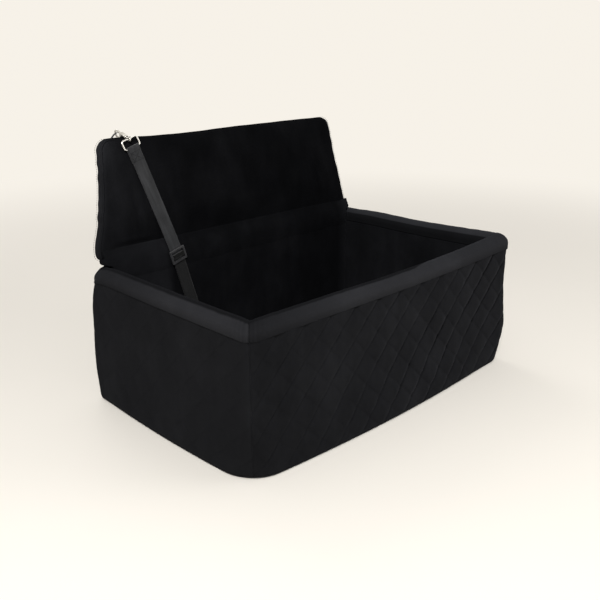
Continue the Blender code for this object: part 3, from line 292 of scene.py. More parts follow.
def woven_cloth(name, base, pitch, depth):
    """A plain weave of two crossing yarns on object coordinates."""
    made = Nodes(name)
    made.set(Roughness=0.85, Specular_IOR_Level=0.3)
    here = made.place()
    yarns = []
    for direction in ("X", "Y"):
        wave = made.add("ShaderNodeTexWave", bands_direction=direction, Scale=WAVE / pitch, Distortion=0.4)
        made.link(here, wave.inputs["Vector"])
        yarns.append(wave.outputs["Fac"])
    weave = made.math("MULTIPLY", *yarns)
    made.feed(Base_Color=made.ramp(weave, [(0.0, shade(base, 0.6)), (0.7, shade(base, 1.4))]))
    made.feed(Normal=made.bump(weave, depth))
    return made.material


def webbing_cloth(name, base, low, high):
    """Ribbed webbing on the strap's own UV map in metres, U along it and V across. Painted shade makes it darkest
    below low.
    """
    made = Nodes(name)
    made.set(Roughness=0.62, Specular_IOR_Level=0.06, Sheen_Weight=0.15, Sheen_Roughness=0.5)
    along = made.place("UV")
    ribs = made.add("ShaderNodeTexWave", bands_direction="X", Scale=WAVE / 0.0013, Distortion=0.0)
    made.link(along, ribs.inputs["Vector"])
    cords = made.add("ShaderNodeTexWave", bands_direction="Y", Scale=WAVE / 0.0023, Distortion=0.0)
    made.link(along, cords.inputs["Vector"])
    halves = [made.math("MULTIPLY", wave.outputs["Fac"], 0.5) for wave in (ribs, cords)]
    height = made.math("ADD", *halves)
    streaks = made.noise(made.place("UV", (14, 150, 1)), 1.0, 3.0)
    worn = made.noise(made.place(), 30.0, 3.0)
    tone = made.math("ADD", made.math("MULTIPLY", streaks, 0.55), made.math("MULTIPLY", worn, 0.30))
    tone = made.math("ADD", tone, made.math("MULTIPLY", height, 0.15))
    stops = [(0.30, shade(base, 0.62)), (0.50, base), (0.68, shade(base, 1.7))]
    # Painted shade: the webbing darkens to 0.22 of its tone below low.
    level = made.add("ShaderNodeSeparateXYZ")
    made.link(made.place(), level.inputs["Vector"])
    rise = made.add("ShaderNodeMapRange", From_Min=low, From_Max=high, To_Min=0.22, To_Max=1.0)
    made.link(level.outputs["Z"], rise.inputs["Value"])
    made.feed(Base_Color=made.multiply(made.ramp(tone, stops), rise.outputs["Result"]))
    made.feed(Normal=made.bump(height, 0.00022))
    return made.material


def moulded_plastic(name, base, gloss=0.0):
    made = Nodes(name)
    made.set(Specular_IOR_Level=0.5, Coat_Weight=0.05)
    here = made.place()
    grain = made.noise(here, 2600.0, 2.0)
    scuffs = made.noise(made.place(scale=(1, 3, 1)), 90.0, 4.0, 0.7)
    made.feed(Base_Color=made.ramp(scuffs, [(0.3, shade(base, 0.85)), (0.75, shade(base, 1.5))]))
    rough = made.math("ADD", made.math("MULTIPLY", scuffs, 0.25), 0.3 + gloss)
    made.feed(Roughness=rough)
    made.feed(Normal=made.bump(grain, 0.00006))
    return made.material


def plated_metal(name, base):
    made = Nodes(name)
    made.set(Metallic=1.0)
    here = made.place()
    smears = made.noise(here, 160.0, 4.0, 0.65)
    made.feed(Base_Color=made.ramp(smears, [(0.3, shade(base, 0.8)), (0.7, base)]))
    rough = made.math("ADD", made.math("MULTIPLY", smears, 0.18), 0.14)
    made.feed(Roughness=rough)
    made.feed(Normal=made.bump(made.noise(here, 900.0, 2.0), 0.00004))
    return made.material


def open_foam(name, base):
    made = Nodes(name)
    made.set(Roughness=0.95)
    cells = made.add("ShaderNodeTexVoronoi", Scale=700.0)
    made.link(made.place(), cells.inputs["Vector"])
    tone = made.ramp(cells.outputs["Distance"], [(0.0, shade(base, 0.6)), (0.5, base)])
    made.feed(Base_Color=tone)
    made.feed(Normal=made.bump(cells.outputs["Distance"], 0.0004))
    return made.material


def twisted_thread(name, base):
    made = Nodes(name)
    made.set(Roughness=0.7, Specular_IOR_Level=0.08)
    twist = made.noise(made.place(), 1500.0, 1.0)
    made.feed(Base_Color=made.ramp(twist, [(0.3, shade(base, 0.7)), (0.7, shade(base, 1.5))]))
    made.feed(Normal=made.bump(twist, 0.0001))
    return made.material


def material(name):
    return FINISHES[name]


# Mesh helpers
def new_object(name, data):
    made = bpy.data.objects.new(name, data)
    bpy.context.scene.collection.objects.link(made)
    return made


def fit(piece, body, *nodes, fill=None):
    """Puts a piece on the body that it rides, in place of the frame's nodes. Its fill is not used."""
    if nodes:
        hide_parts(*nodes)
    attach(piece, body)


def add_mesh(name, points, faces, finish, uvs=None):
    """A piece from points and faces, shaded smooth. A UV is given for each point."""
    mesh = bpy.data.meshes.new(name)
    corners = [tuple(point) for point in np.asarray(points).reshape(-1, 3)]
    mesh.from_pydata(corners, [], [tuple(face) for face in faces])
    mesh.materials.append(material(finish))
    mesh.validate()
    mesh.shade_smooth()
    if uvs is not None:
        layer = mesh.uv_layers.new(name="cloth")
        index = np.empty(len(mesh.loops), dtype=np.int32)
        mesh.loops.foreach_get("vertex_index", index)
        layer.data.foreach_set("uv", np.asarray(uvs, dtype=np.float32)[index].ravel())
    return new_object(name, mesh)


def face_outward(piece):
    shape = bmesh.new()
    shape.from_mesh(piece.data)
    bmesh.ops.remove_doubles(shape, verts=shape.verts, dist=1e-6)
    bmesh.ops.recalc_face_normals(shape, faces=shape.faces)
    shape.to_mesh(piece.data)
    shape.free()


def quads(index):
    """The faces of a grid of point numbers."""
    corners = (index[:-1, :-1], index[:-1, 1:], index[1:, 1:], index[1:, :-1])
    return np.stack(corners, axis=-1).reshape(-1, 4)


def shell_faces(rows, columns):
    """Faces of a closed shell between a front and a back grid of points."""
    count = rows * columns
    index = np.arange(count).reshape(rows, columns)
    rim = np.concatenate([index[0, :-1], index[:-1, -1], index[-1, :0:-1], index[:0:-1, 0]])
    after = np.roll(rim, -1)
    walls = np.stack([after, rim, rim + count, after + count], axis=-1)
    return np.concatenate([quads(index), quads(index + count)[:, ::-1], walls])


def shell(name, front, back, finish):
    """A closed thin piece between two grids of points."""
    rows, columns = front.shape[:2]
    points = np.concatenate([front.reshape(-1, 3), back.reshape(-1, 3)])
    piece = add_mesh(name, points, shell_faces(rows, columns), finish)
    face_outward(piece)
    return piece


def loft(name, rings, finish, closed=False, uvs=None):
    """A solid through rings of points, with its ends capped unless it closes on itself."""
    rings = np.asarray(rings)
    count, size = rings.shape[:2]
    index = np.arange(count * size).reshape(count, size)
    if closed:
        index = np.vstack([index, index[:1]])
    around = np.hstack([index, index[:, :1]])
    faces = [tuple(face) for face in quads(around)]
    if not closed:
        faces += [tuple(index[0][::-1]), tuple(index[-1])]
    piece = add_mesh(name, rings.reshape(-1, 3), faces, finish, uvs)
    face_outward(piece)
    return piece


def smooth_path(points):
    """Rounds a path's corners by cutting each one twice, and keeps its ends."""
    path = np.asarray(points, dtype=float)
    for _ in range(2):
        low, high = path[:-1], path[1:]
        middle = np.stack([low * 0.75 + high * 0.25, low * 0.25 + high * 0.75], axis=1)
        path = np.vstack([path[:1], middle.reshape(-1, path.shape[1]), path[-1:]])
    return path


def resample(path, pitch):
    """Even steps along a path of points."""
    path = np.asarray(path, dtype=float)
    steps = np.linalg.norm(np.diff(path[:, :3], axis=0), axis=1)
    run = np.concatenate([[0], np.cumsum(steps)])
    count = max(int(round(run[-1] / pitch)), 1) + 1
    places = np.linspace(0, run[-1], count)
    return np.stack([np.interp(places, run, path[:, k]) for k in range(path.shape[1])], axis=1)


def unit(vectors):
    return vectors / np.maximum(np.linalg.norm(vectors, axis=-1, keepdims=True), 1e-12)


def clamp(value):
    return np.clip(value, 0, 1)


def bell(width, *away):
    """1 where every distance is nought, falling off over the width."""
    return np.exp(-sum((distance / width) ** 2 for distance in away))


def rod(name, path, radius, finish, sides, closed=False):
    """A round bar along a path, with rounded ends unless it closes on itself."""
    path = np.asarray(path, dtype=float)
    if closed:
        along = unit(np.roll(path, -1, 0) - np.roll(path, 1, 0))
    else:
        along = unit(np.gradient(path, axis=0))
    normal = np.cross(path[1] - path[0], path[len(path) // 2] - path[0])
    if np.linalg.norm(normal) < 1e-12:
        normal = np.cross(path[1] - path[0], (0.3, 0.5, 0.8))
    normal = unit(normal)
    side = unit(np.cross(along, normal))
    up = np.cross(side, along)
    turns = np.linspace(0, 2 * pi, sides, endpoint=False)
    ring = np.cos(turns)[None, :, None] * side[:, None] + np.sin(turns)[None, :, None] * up[:, None]
    radii = np.full(len(path), radius)
    centres = path.copy()
    if not closed:
        caps = [(0.25, 0.97), (0.6, 0.8), (0.9, 0.44)]
        low = [path[0] - along[0] * radius * (a - 0.25) for a, _ in caps[::-1]]
        high = [path[-1] + along[-1] * radius * (a - 0.25) for a, _ in caps]
        centres = np.vstack([low, path[1:-1], high])
        ends = [r * radius for _, r in caps]
        radii = np.concatenate([ends[::-1], radii[1:-1], ends])
        ring = np.concatenate([np.repeat(ring[:1], 3, 0), ring[1:-1], np.repeat(ring[-1:], 3, 0)])
    return loft(name, centres[:, None] + ring * radii[:, None, None], finish, closed)


def turned(name, profile, place, finish):
    """A solid turned about the local Z of a place, from radii and heights."""
    turns = np.linspace(0, 2 * pi, 32, endpoint=False)
    rings = [[place @ Vector((r * cos(t), r * sin(t), z)) for t in turns] for r, z in profile]
    return loft(name, rings, finish)


def join_pieces(name, pieces):
    """Makes one piece of several."""
    shape = bmesh.new()
    for piece in pieces:
        shape.from_mesh(piece.data)
    mesh = bpy.data.meshes.new(name)
    shape.to_mesh(mesh)
    shape.free()
    mesh.materials.append(pieces[0].data.materials[0])
    mesh.shade_smooth()
    mesh.set_sharp_from_angle(angle=radians(42))
    for piece in pieces:
        bpy.data.objects.remove(piece, do_unlink=True)
    return new_object(name, mesh)


def coordinates(piece):
    points = np.empty(len(piece.data.vertices) * 3)
    piece.data.vertices.foreach_get("co", points)
    return points.reshape(-1, 3)


def set_coordinates(piece, points):
    piece.data.vertices.foreach_set("co", np.asarray(points, dtype=np.float32).ravel())
    piece.data.update()


def ripples(points, size, seed):
    """Nine smooth, fixed waves over a set of points, from about -1 to 1 together."""
    random = np.random.default_rng(seed)
    total = np.zeros(points.shape[:-1])
    for _ in range(9):
        direction = unit(random.normal(size=3))
        wave = 2 * pi / (size * random.uniform(0.6, 1.8))
        total += np.sin(points @ direction * wave + random.uniform(0, 2 * pi)) * random.uniform(0.5, 1)
    return total / (0.55 * 9)


def evaluated_points(piece):
    result = piece.evaluated_get(bpy.context.evaluated_depsgraph_get())
    points = np.empty(len(result.data.vertices) * 3)
    result.data.vertices.foreach_get("co", points)
    return points.reshape(-1, 3)


def plain_copy(piece):
    """Turns the piece's modifiers into plain mesh."""
    result = piece.evaluated_get(bpy.context.evaluated_depsgraph_get())
    mesh = bpy.data.meshes.new_from_object(result)
    piece.modifiers.clear()
    piece.data = mesh


def remesh(piece, voxel):
    modifier = piece.modifiers.new("even faces", "REMESH")
    modifier.mode = "VOXEL"
    modifier.voxel_size = voxel
    modifier.use_smooth_shade = True
    plain_copy(piece)


def inflate(piece, pressure, frames, cap, pinned):
    """Swells a closed piece with Cloth under pressure. Pinned points stay, and none moves beyond the cap."""
    rest = coordinates(piece)
    cloth = piece.modifiers.new("stuffing", "CLOTH")
    settings = cloth.settings
    settings.quality = 5
    settings.mass = 0.15
    settings.tension_stiffness = 12
    settings.compression_stiffness = 12
    settings.bending_stiffness = 0.4
    settings.use_pressure = True
    settings.uniform_pressure_force = pressure
    settings.effector_weights.gravity = 0
    cloth.collision_settings.use_collision = False
    group = piece.vertex_groups.new(name="sewn")
    group.add([int(k) for k in np.nonzero(pinned)[0]], 1.0, "REPLACE")
    settings.vertex_group_mass = "sewn"
    cloth.point_cache.frame_start = 1
    cloth.point_cache.frame_end = frames
    for step in range(1, frames + 1):
        bpy.context.scene.frame_set(step)
    moved = evaluated_points(piece) - rest
    piece.modifiers.remove(cloth)
    piece.vertex_groups.clear()
    bpy.context.scene.frame_set(1)
    reach = np.linalg.norm(moved, axis=1, keepdims=True)
    set_coordinates(piece, rest + moved * np.minimum(1, cap / np.maximum(reach, 1e-9)))


def subdivide(piece):
    modifier = piece.modifiers.new("smooth", "SUBSURF")
    modifier.levels = modifier.render_levels = 1
    plain_copy(piece)
    piece.data.shade_smooth()


# The box's outline, as the frame's own walls have it
def corner_radius(side, sign, z):
    """The corner radius at a height. Low down, the front left corner is drawn in more than the others."""
    s = sizes()
    drawn_in = sign < 0 if side == "front" else sign > 0
    square = 0.038 if side == "left" else 0.026
    if side == "rear":
        square = np.where(sign > 0, 0.038, 0.026)
    if side in ("front", "left"):
        square = np.where(drawn_in, -0.004, square)
    low = s.corner_low - square
    return low + (s.corner_top - low) * np.minimum(z / s.corner_blend, 1)


def edge_inset(z):
    radius = sizes().bottom_edge
    below = np.maximum(radius - z, 0)
    return radius - np.sqrt(radius**2 - below**2)


def wall_reaches(side):
    s = sizes()
    if side in ("front", "rear"):
        return s.box_length / 2, s.box_depth / 2
    return s.box_depth / 2, s.box_length / 2


def to_world(side, along, out, z):
    x, y = {
        "front": (along, -out),
        "right": (out, along),
        "rear": (-along, out),
        "left": (-out, -along),
    }[side]
    return np.stack(np.broadcast_arrays(x, y, z), axis=-1)


def rim_lift(points):
    """How far the soft rim sags or rises: a little low along the front, and high at its right corner."""
    s = sizes()
    x, y, z = points[..., 0], points[..., 1], points[..., 2]
    to_front, to_rear, to_right = y + s.box_depth / 2, s.box_depth / 2 - y, s.box_length / 2 - x
    weight = clamp((z - s.wall_height * 0.62) / (s.wall_height * 0.38)) ** 2
    sag = -0.0028 * bell(0.17, x) * bell(0.07, to_front)
    rise = 0.0065 * bell(0.13, to_right, to_front)
    side = -0.0015 * bell(0.11, y) * bell(0.07, np.abs(x) - s.box_length / 2)
    far = 0.0018 * bell(0.07, to_right) * clamp((to_rear - 0.05) / 0.05)
    rear = -0.0018 * bell(0.06, to_rear)
    return weight * (sag + rise + side + far + rear)


def settled(points):
    """Moves a wall's points as its filling settles: a swollen foot and a rim that isn't straight."""
    s = sizes()
    x, y, z = points[..., 0], points[..., 1], points[..., 2]
    to_front, to_rear = y + s.box_depth / 2, s.box_depth / 2 - y
    to_left, to_right = x + s.box_length / 2, s.box_length / 2 - x
    foot, waist = bell(0.060, z - 0.018), bell(0.065, z - 0.070)
    rim = clamp((z - 0.16) / 0.07) ** 2
    moved = points.copy()
    for axis, swell, away, depth, middle in (
        (1, -0.0148, to_front, 0.030, (x - 0.02) / 0.29),
        (0, -0.0070, to_left, 0.026, y / 0.18),
        (0, 0.0030, to_right, 0.026, y / 0.18),
        (1, 0.0040, to_rear, 0.026, x / 0.28),
    ):
        moved[..., axis] += swell * foot * clamp(1 - middle**2) * clamp(1 - away / depth)
    moved[..., 0] += 0.0022 * rim * clamp(1 - to_right / 0.05)
    for end, face, width, amount, way in (
        (to_left, to_rear, 0.038, rim, (0.0092, -0.0020, -0.0104)),
        (to_right, to_front, 0.055, 0.0015 + 0.0058 * waist, (1, -1, 0)),
        (to_left, to_rear, 0.055, 0.0026 * waist, (-1, 1, 0)),
        (to_left, to_front, 0.080, 0.0026 * clamp(1 - z / 0.05), (0, 0, 1)),
    ):
        moved += (bell(width, end, face) * amount)[..., None] * way
    moved[..., 2] += rim_lift(points)
    return moved


def wall_points(side, x, z, inset, seam_gap):
    """Points of a wall at places along its face and round its corners, at a depth under that face."""
    half, reach = wall_reaches(side)
    edge = edge_inset(z)
    radius = corner_radius(side, np.sign(x), z) - edge
    straight = half - edge - radius
    run = x * (straight + radius * pi / 4 - seam_gap) / half
    turn = np.maximum(np.abs(run) - straight, 0) / radius
    along = np.sign(run) * (np.minimum(np.abs(run), straight) + (radius - inset) * np.sin(turn))
    out = reach - edge - radius + (radius - inset) * np.cos(turn)
    return to_world(side, along, out, z)


def inner_points(side, share, z, inset, gap):
    """Points of a wall's inner layers: share runs from -1 at one corner to 1 at the other."""
    half, reach = wall_reaches(side)
    radius = np.maximum(corner_radius(side, np.sign(share), z) - inset, 0.002)
    straight = half - inset - radius
    total = straight + radius * pi / 4 - gap
    run = share * total
    turn = np.maximum(np.abs(run) - straight, 0) / radius
    along = np.sign(run) * (np.minimum(np.abs(run), straight) + radius * np.sin(turn))
    out = reach - inset - radius + radius * np.cos(turn)
    return to_world(side, along, out, z)


def seam_distance(x, z):
    """How far each place lies from the rising and from the falling quilting seams, from 0 to 1."""
    pitch = sizes().quilt_pitch
    rising = (x + z) / pitch
    falling = (x - z) / pitch
    return 2 * np.abs(rising - np.round(rising)), 2 * np.abs(falling - np.round(falling))


def quilt_inset(side, x, z):
    """The quilted face's depth: puffed diamonds, sharp seams with puckers, and soft unevenness."""
    s = sizes()
    half = wall_reaches(side)[0]
    seed = SIDES.index(side)
    rising, falling = seam_distance(x, z)
    puff = np.sin(falling * pi / 2) ** 0.42 * (0.35 + 0.65 * np.sin(rising * pi / 2) ** 0.42)
    inset = s.seam_depth - (s.seam_depth + s.quilt_rise) * puff
    flat = np.stack([x, z, np.zeros_like(x)], axis=-1)
    for across, sign, height in ((rising, 1, 0.0007), (falling, -1, 0.0010)):
        away = across * s.quilt_pitch / 2
        near = np.exp(-away / 0.0055) * (1 - np.exp(-away / 0.0012))
        pucker = np.sin((x - sign * z) * 2 * pi / 0.0095 + 2.5 * ripples(flat, 0.05, 31 + seed))
        inset = inset - height * near * pucker * (0.6 + 0.4 * ripples(flat, 0.09, 57 + seed))
    inset = inset + 0.0009 * ripples(flat, 0.16, 11 + seed) + 0.0004 * ripples(flat, 0.035, 23 + seed)
    edge = half - np.abs(x)
    below_border = s.wall_height - s.border_depth - z
    inset = inset + 0.0008 * np.exp(-edge / 0.004) + 0.0004 * np.exp(-below_border / 0.003)
    calm = clamp((z - 0.002) / 0.030) * np.clip(edge / 0.016, 0.35, 1)
    if side == "left":
        calm = calm * 0.35
    return np.clip(0.0006 + (inset - 0.0006) * calm, -0.0045, 0.0048)


def painted_seam_shade(side, x, z):
    """Painted light and shade on the quilting: painted shade in the rising seams, a painted highlight beside
    them, fainter in the falling ones.
    """
    s = sizes()
    flat = np.stack([x, z, np.zeros_like(x)], axis=-1)
    seed = SIDES.index(side)
    total = np.ones_like(x)
    shift = 0.0012 * ripples(flat, 0.03, 41 + seed)
    dashes = np.clip(0.62 + 0.75 * ripples(flat, 0.017, 67 + seed), 0, 1.35)
    strength = np.clip(0.66 + 0.5 * ripples(flat, 0.13, 47 + seed), 0.15, 1) * dashes
    # The painted seams are fainter towards the front's left, and faintest on the left wall.
    if side == "front":
        strength = strength * (0.30 + 0.70 * clamp((x + 0.22) / 0.24))
    if side == "left":
        strength = strength * 0.14
    for sign, depth in ((-1, 0.85), (1, 0.26)):
        place = (x + sign * z) / s.quilt_pitch
        away = (place - np.round(place)) * s.quilt_pitch / sqrt(2) + shift
        # Painted shade in each seam, and a painted highlight beside it.
        total -= depth * strength * bell(0.0019, away)
        total += 0.55 * depth * strength * bell(0.0030, away + 0.0048)
    # Painted light on the front: lighter towards its right. Random patches vary the tone too.
    if side == "front":
        total *= 0.88 + 0.18 * clamp((x + 0.26) / 0.20) + 0.05 * ripples(flat, 0.11, 61)
        total *= 1 + 0.07 * ripples(flat, 0.032, 73) + 0.06 * ripples(flat, 0.013, 79)
    return np.clip(total, 0.3, 1.8)


def painted_rim_light(side, x, turn, z):
    """Painted light and shade on the border: a lighter or darker level on each side and along it, painted shade
    towards its lower edge, and painted light and shade on the gathers at the corners. It is dark from a seam on,
    which lies at an angle over the top.
    """
    # Painted light: each side's level, and its change along the left and the front.
    if side == "left":
        painted_factor = 0.76 + 0.40 * clamp((x + 0.16) / 0.26) - 0.16 * clamp((x - 0.16) / 0.05)
        seam = np.full_like(x, 68)
    elif side == "front":
        painted_factor = 0.62 + 0.52 * clamp((x + 0.32) / 0.22) - 0.14 * clamp((x - 0.08) / 0.14)
        seam = 73 + 75 * clamp((x - 0.05) / 0.10)
    else:
        painted_factor = np.full_like(x, 1.32 if side == "right" else 0.9)
        seam = np.full_like(x, 145 if side == "right" else 68)
    over = clamp((np.degrees(turn) - seam) / 8 + 0.5)
    # Painted shade towards the border's lower edge.
    edge = 0.62 + 0.38 * clamp((z - 0.2225) / 0.0165)
    # Painted light and shade on the gathers at the corners.
    gathers = np.exp(-(wall_reaches(side)[0] - np.abs(x)) / 0.022)
    painted_factor = painted_factor * (1 - 0.10 * gathers + 0.14 * gathers * np.sin(x * 2 * pi / PLEAT_PITCH))
    return np.where(turn < pi / 2, edge, 1) * (painted_factor * (1 - over) + 0.42 * over)


# Stitches and grip dots, made by Geometry Nodes
def scatter_tree(name, segments, rings, defaults, along_paths):
    """A tree that puts a bead at a mesh's points, or at each step along its paths, turned to follow them."""
    tree = bpy.data.node_groups.new(name, "GeometryNodeTree")
    face = tree.interface
    face.new_socket("Geometry", in_out="INPUT", socket_type="NodeSocketGeometry")
    for socket, value in defaults.items():
        face.new_socket(socket, in_out="INPUT", socket_type="NodeSocketFloat").default_value = value
    face.new_socket("Material", in_out="INPUT", socket_type="NodeSocketMaterial")
    face.new_socket("Geometry", in_out="OUTPUT", socket_type="NodeSocketGeometry")
    add, link = tree.nodes.new, tree.links.new
    start, end = add("NodeGroupInput"), add("NodeGroupOutput")
    bead, place = add("GeometryNodeMeshUVSphere"), add("GeometryNodeInstanceOnPoints")
    for socket, value in (("Segments", segments), ("Rings", rings), ("Radius", 0.5)):
        bead.inputs[socket].default_value = value
    size, real = add("ShaderNodeCombineXYZ"), add("GeometryNodeRealizeInstances")
    for axis, socket in (("X", "Width"), ("Y", "Width"), ("Z", "Height")):
        link(start.outputs[socket], size.inputs[axis])
    link(size.outputs["Vector"], place.inputs["Scale"])
    link(bead.outputs["Mesh"], place.inputs["Instance"])
    link(place.outputs["Instances"], real.inputs["Geometry"])
    points, beads = start.outputs["Geometry"], real.outputs["Geometry"]
    if along_paths:
        curve, steps = add("GeometryNodeMeshToCurve"), add("GeometryNodeResampleCurve")
        steps.mode = "LENGTH"
        tangent, turn = add("GeometryNodeInputTangent"), add("FunctionNodeAlignRotationToVector")
        turn.axis = "Z"
        smooth = add("GeometryNodeSetShadeSmooth")
        link(points, curve.inputs["Mesh"])
        link(curve.outputs["Curve"], steps.inputs["Curve"])
        link(start.outputs["Pitch"], steps.inputs["Length"])
        link(tangent.outputs["Tangent"], turn.inputs["Vector"])
        link(turn.outputs["Rotation"], place.inputs["Rotation"])
        link(beads, smooth.inputs["Geometry"])
        points, beads = steps.outputs["Curve"], smooth.outputs["Geometry"]
    link(points, place.inputs["Points"])
    paint = add("GeometryNodeSetMaterial")
    link(beads, paint.inputs["Geometry"])
    link(start.outputs["Material"], paint.inputs["Material"])
    link(paint.outputs["Geometry"], end.inputs["Geometry"])
    return tree


def run_tree(name, points, edges, tree, values):
    """Makes a piece by running a Geometry Nodes tree on a mesh of points and edges."""
    mesh = bpy.data.meshes.new(name)
    mesh.from_pydata(points, edges, [])
    piece = new_object(name, mesh)
    modifier = piece.modifiers.new("nodes", "NODES")
    modifier.node_group = tree
    for item in tree.interface.items_tree:
        if item.item_type == "SOCKET" and item.in_out == "INPUT" and item.name in values:
            modifier[item.identifier] = values[item.name]
    plain_copy(piece)
    return piece


def stitches(name, paths, body, pitch=None, radius=None, thread="thread"):
    """Rows of stitches along paths of points, riding on a body."""
    s = sizes()
    points, edges = [], []
    for path in paths:
        start = len(points)
        points += [tuple(point) for point in path]
        edges += [(k, k + 1) for k in range(start, len(points) - 1)]
    defaults = {"Pitch": 0.004, "Width": 0.0007, "Height": 0.0031}
    kind = "thread_stitches"
    tree = bpy.data.node_groups.get(kind) or scatter_tree(kind, 6, 4, defaults, True)
    pitch = pitch or s.stitch_pitch
    values = {"Pitch": pitch, "Width": 2 * (radius or s.thread_radius), "Height": pitch * 0.78}
    values["Material"] = material(thread)
    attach(run_tree(name, points, edges, tree, values), body)


def crossed_box(name, corners, radius):
    """A sewn box with a cross in it, through four corners in the backrest's own frame."""
    ends = ((0, 1), (1, 2), (2, 3), (3, 0), (0, 2), (1, 3))
    paths = [on_panel(np.linspace(corners[a], corners[b], 12)) for a, b in ends]
    stitches(name, paths, "backrest", 0.0024, radius, "webbing_thread")


# Operators
class SEAT_OT_finishes(bpy.types.Operator):
    """Makes the seat's materials and gives the frame's own parts theirs"""

    bl_idname = "seat.finishes"
    bl_label = "Make the finishes"

    def execute(self, context):
        c = context.scene.seat_colours
        velvet, border, plush = tuple(c.velvet), tuple(c.border), tuple(c.plush)
        webbing, plastic = tuple(c.webbing), tuple(c.plastic)
        # The quilted velvet, the rim and the backrest's plush carry painted light and shade stored on their
        # cloth; tape, border and plush are the same cloths without it.
        pile_cloth("velvet", velvet, 1500.0, 0.00035, 9.0, 0.30, 6.0, mapped_shading, 0.5)
        pile_cloth("tape", velvet, 1500.0, 0.00035, 9.0, 0.30, 6.0, None, 0.5)
        pile_cloth("rim", border, 1600.0, 0.00030, 10.0, 0.35, 5.0, mapped_shading, 0.3)
        pile_cloth("border", border, 1600.0, 0.00030, 10.0, 0.35, 5.0, None, 0.5)
        pile_cloth("plush", plush, 620.0, 0.0011, 8.0, 0.25, 6.0)
        pile_cloth("painted_light_plush", plush, 620.0, 0.0011, 8.0, 0.25, 6.0, mapped_shading)
        # Painted light on the lining: lighter towards the left end, most just left of the leash strap, and
        # towards the right end.
        left = ((-0.31, 1.3), (-0.25, 1.5), (-0.205, 2.0), (-0.185, 2.0), (-0.170, 0.9))
        right = ((0.27, 0.9), (0.292, 1.7))
        pile_cloth("lining", plush, 620.0, 0.0011, 8.0, 0.25, 6.0, shading_along(*left, *right))
        woven_cloth("base_cloth", tuple(c.cloth), 0.0012, 0.0003)
        # Painted shade on all webbing below the leash's slider: the leash strap's lower run and its floor patch.
        webbing_cloth("webbing", webbing, SLIDER.z - 0.012, SLIDER.z - 0.004)
        # Painted shade: the webbing that turns over a slider's bar, 0.06 times as light as the webbing.
        webbing_cloth("painted_shade_webbing", shade(webbing, 0.06), 0.0, 0.01)
        twisted_thread("thread", tuple(c.thread))
        twisted_thread("webbing_thread", shade(webbing, 0.3))
        moulded_plastic("plastic", plastic)
        # The slider's plastic is 2.5 times lighter than the other plastic, as painted highlight on its bars, and
        # a little glossier.
        moulded_plastic("painted_highlight_plastic", shade(plastic, 2.5), -0.08)
        plated_metal("nickel", tuple(c.nickel))
        open_foam("foam", (0.62, 0.60, 0.55))
        moulded_plastic("board", (0.022, 0.022, 0.024))
        finishes = {"foam": "foam", "board": "board", "base": "base_cloth", "buckle": "plastic"}
        finishes |= {"leash_slider": "painted_highlight_plastic", "strap_adjuster": "plastic"}
        for name, node in frame["nodes"].items():
            finish = next((finishes[key] for key in finishes if key in name), "border")
            if name in ("leash_eye", "swivel_post", "snap_hook", "hook_gate"):
                finish = "nickel"
            for slot in node.material_slots:
                slot.material = material(finish)
        return {"FINISHED"}


class SEAT_OT_quilted_walls(bpy.types.Operator):
    """Makes the quilted outer panel of each wall, with its seams' stitches"""

    bl_idname = "seat.quilted_walls"
    bl_label = "Sew the quilted walls"

    pitch: length("Mesh pitch", "Spacing of the panel's points", 0.0022)

    def execute(self, context):
        s = sizes()
        low, high = 0.0033, s.wall_height - s.border_depth
        for side in SIDES:
            half = wall_reaches(side)[0]
            x = np.linspace(-half, half, int(2 * half / self.pitch) | 1)
            z = np.linspace(low, high, int((high - low) / self.pitch))
            grid_x, grid_z = np.meshgrid(x, z)
            inset, under = quilt_inset(side, grid_x, grid_z), np.full_like(grid_x, 0.0056)
            front, back = (
                settled(wall_points(side, grid_x, grid_z, depth, s.fabric_gap)) for depth in (inset, under)
            )
            piece = shell(f"quilted_wall_{side}", front, back, "velvet")
            # Stores the painted light and shade of the seams on the cloth.
            store_painted_tones(piece, front, painted_seam_shade(side, grid_x, grid_z))
            fit(piece, "box", f"outer_panel_{side}", fill=0.5)
            self.sew(side, half, low, high)
        return {"FINISHED"}

    def sew(self, side, half, low, high):
        """Threads in the valleys of both families of seams."""
        s = sizes()
        paths = []
        first = int(np.floor(-(half + high) / s.quilt_pitch)) - 1
        z = np.linspace(low + 0.002, high - 0.001, 90)
        for sign in (1, -1):
            for k in range(first, -first + 1):
                x = k * s.quilt_pitch - sign * z
                keep = np.abs(x) < half - 0.003
                if keep.sum() > 3:
                    inset = quilt_inset(side, x[keep], z[keep]) + s.thread_radius * 0.2
                    paths.append(settled(wall_points(side, x[keep], z[keep], inset, s.fabric_gap)))
        stitches(f"quilting_stitches_{side}", paths, "box")


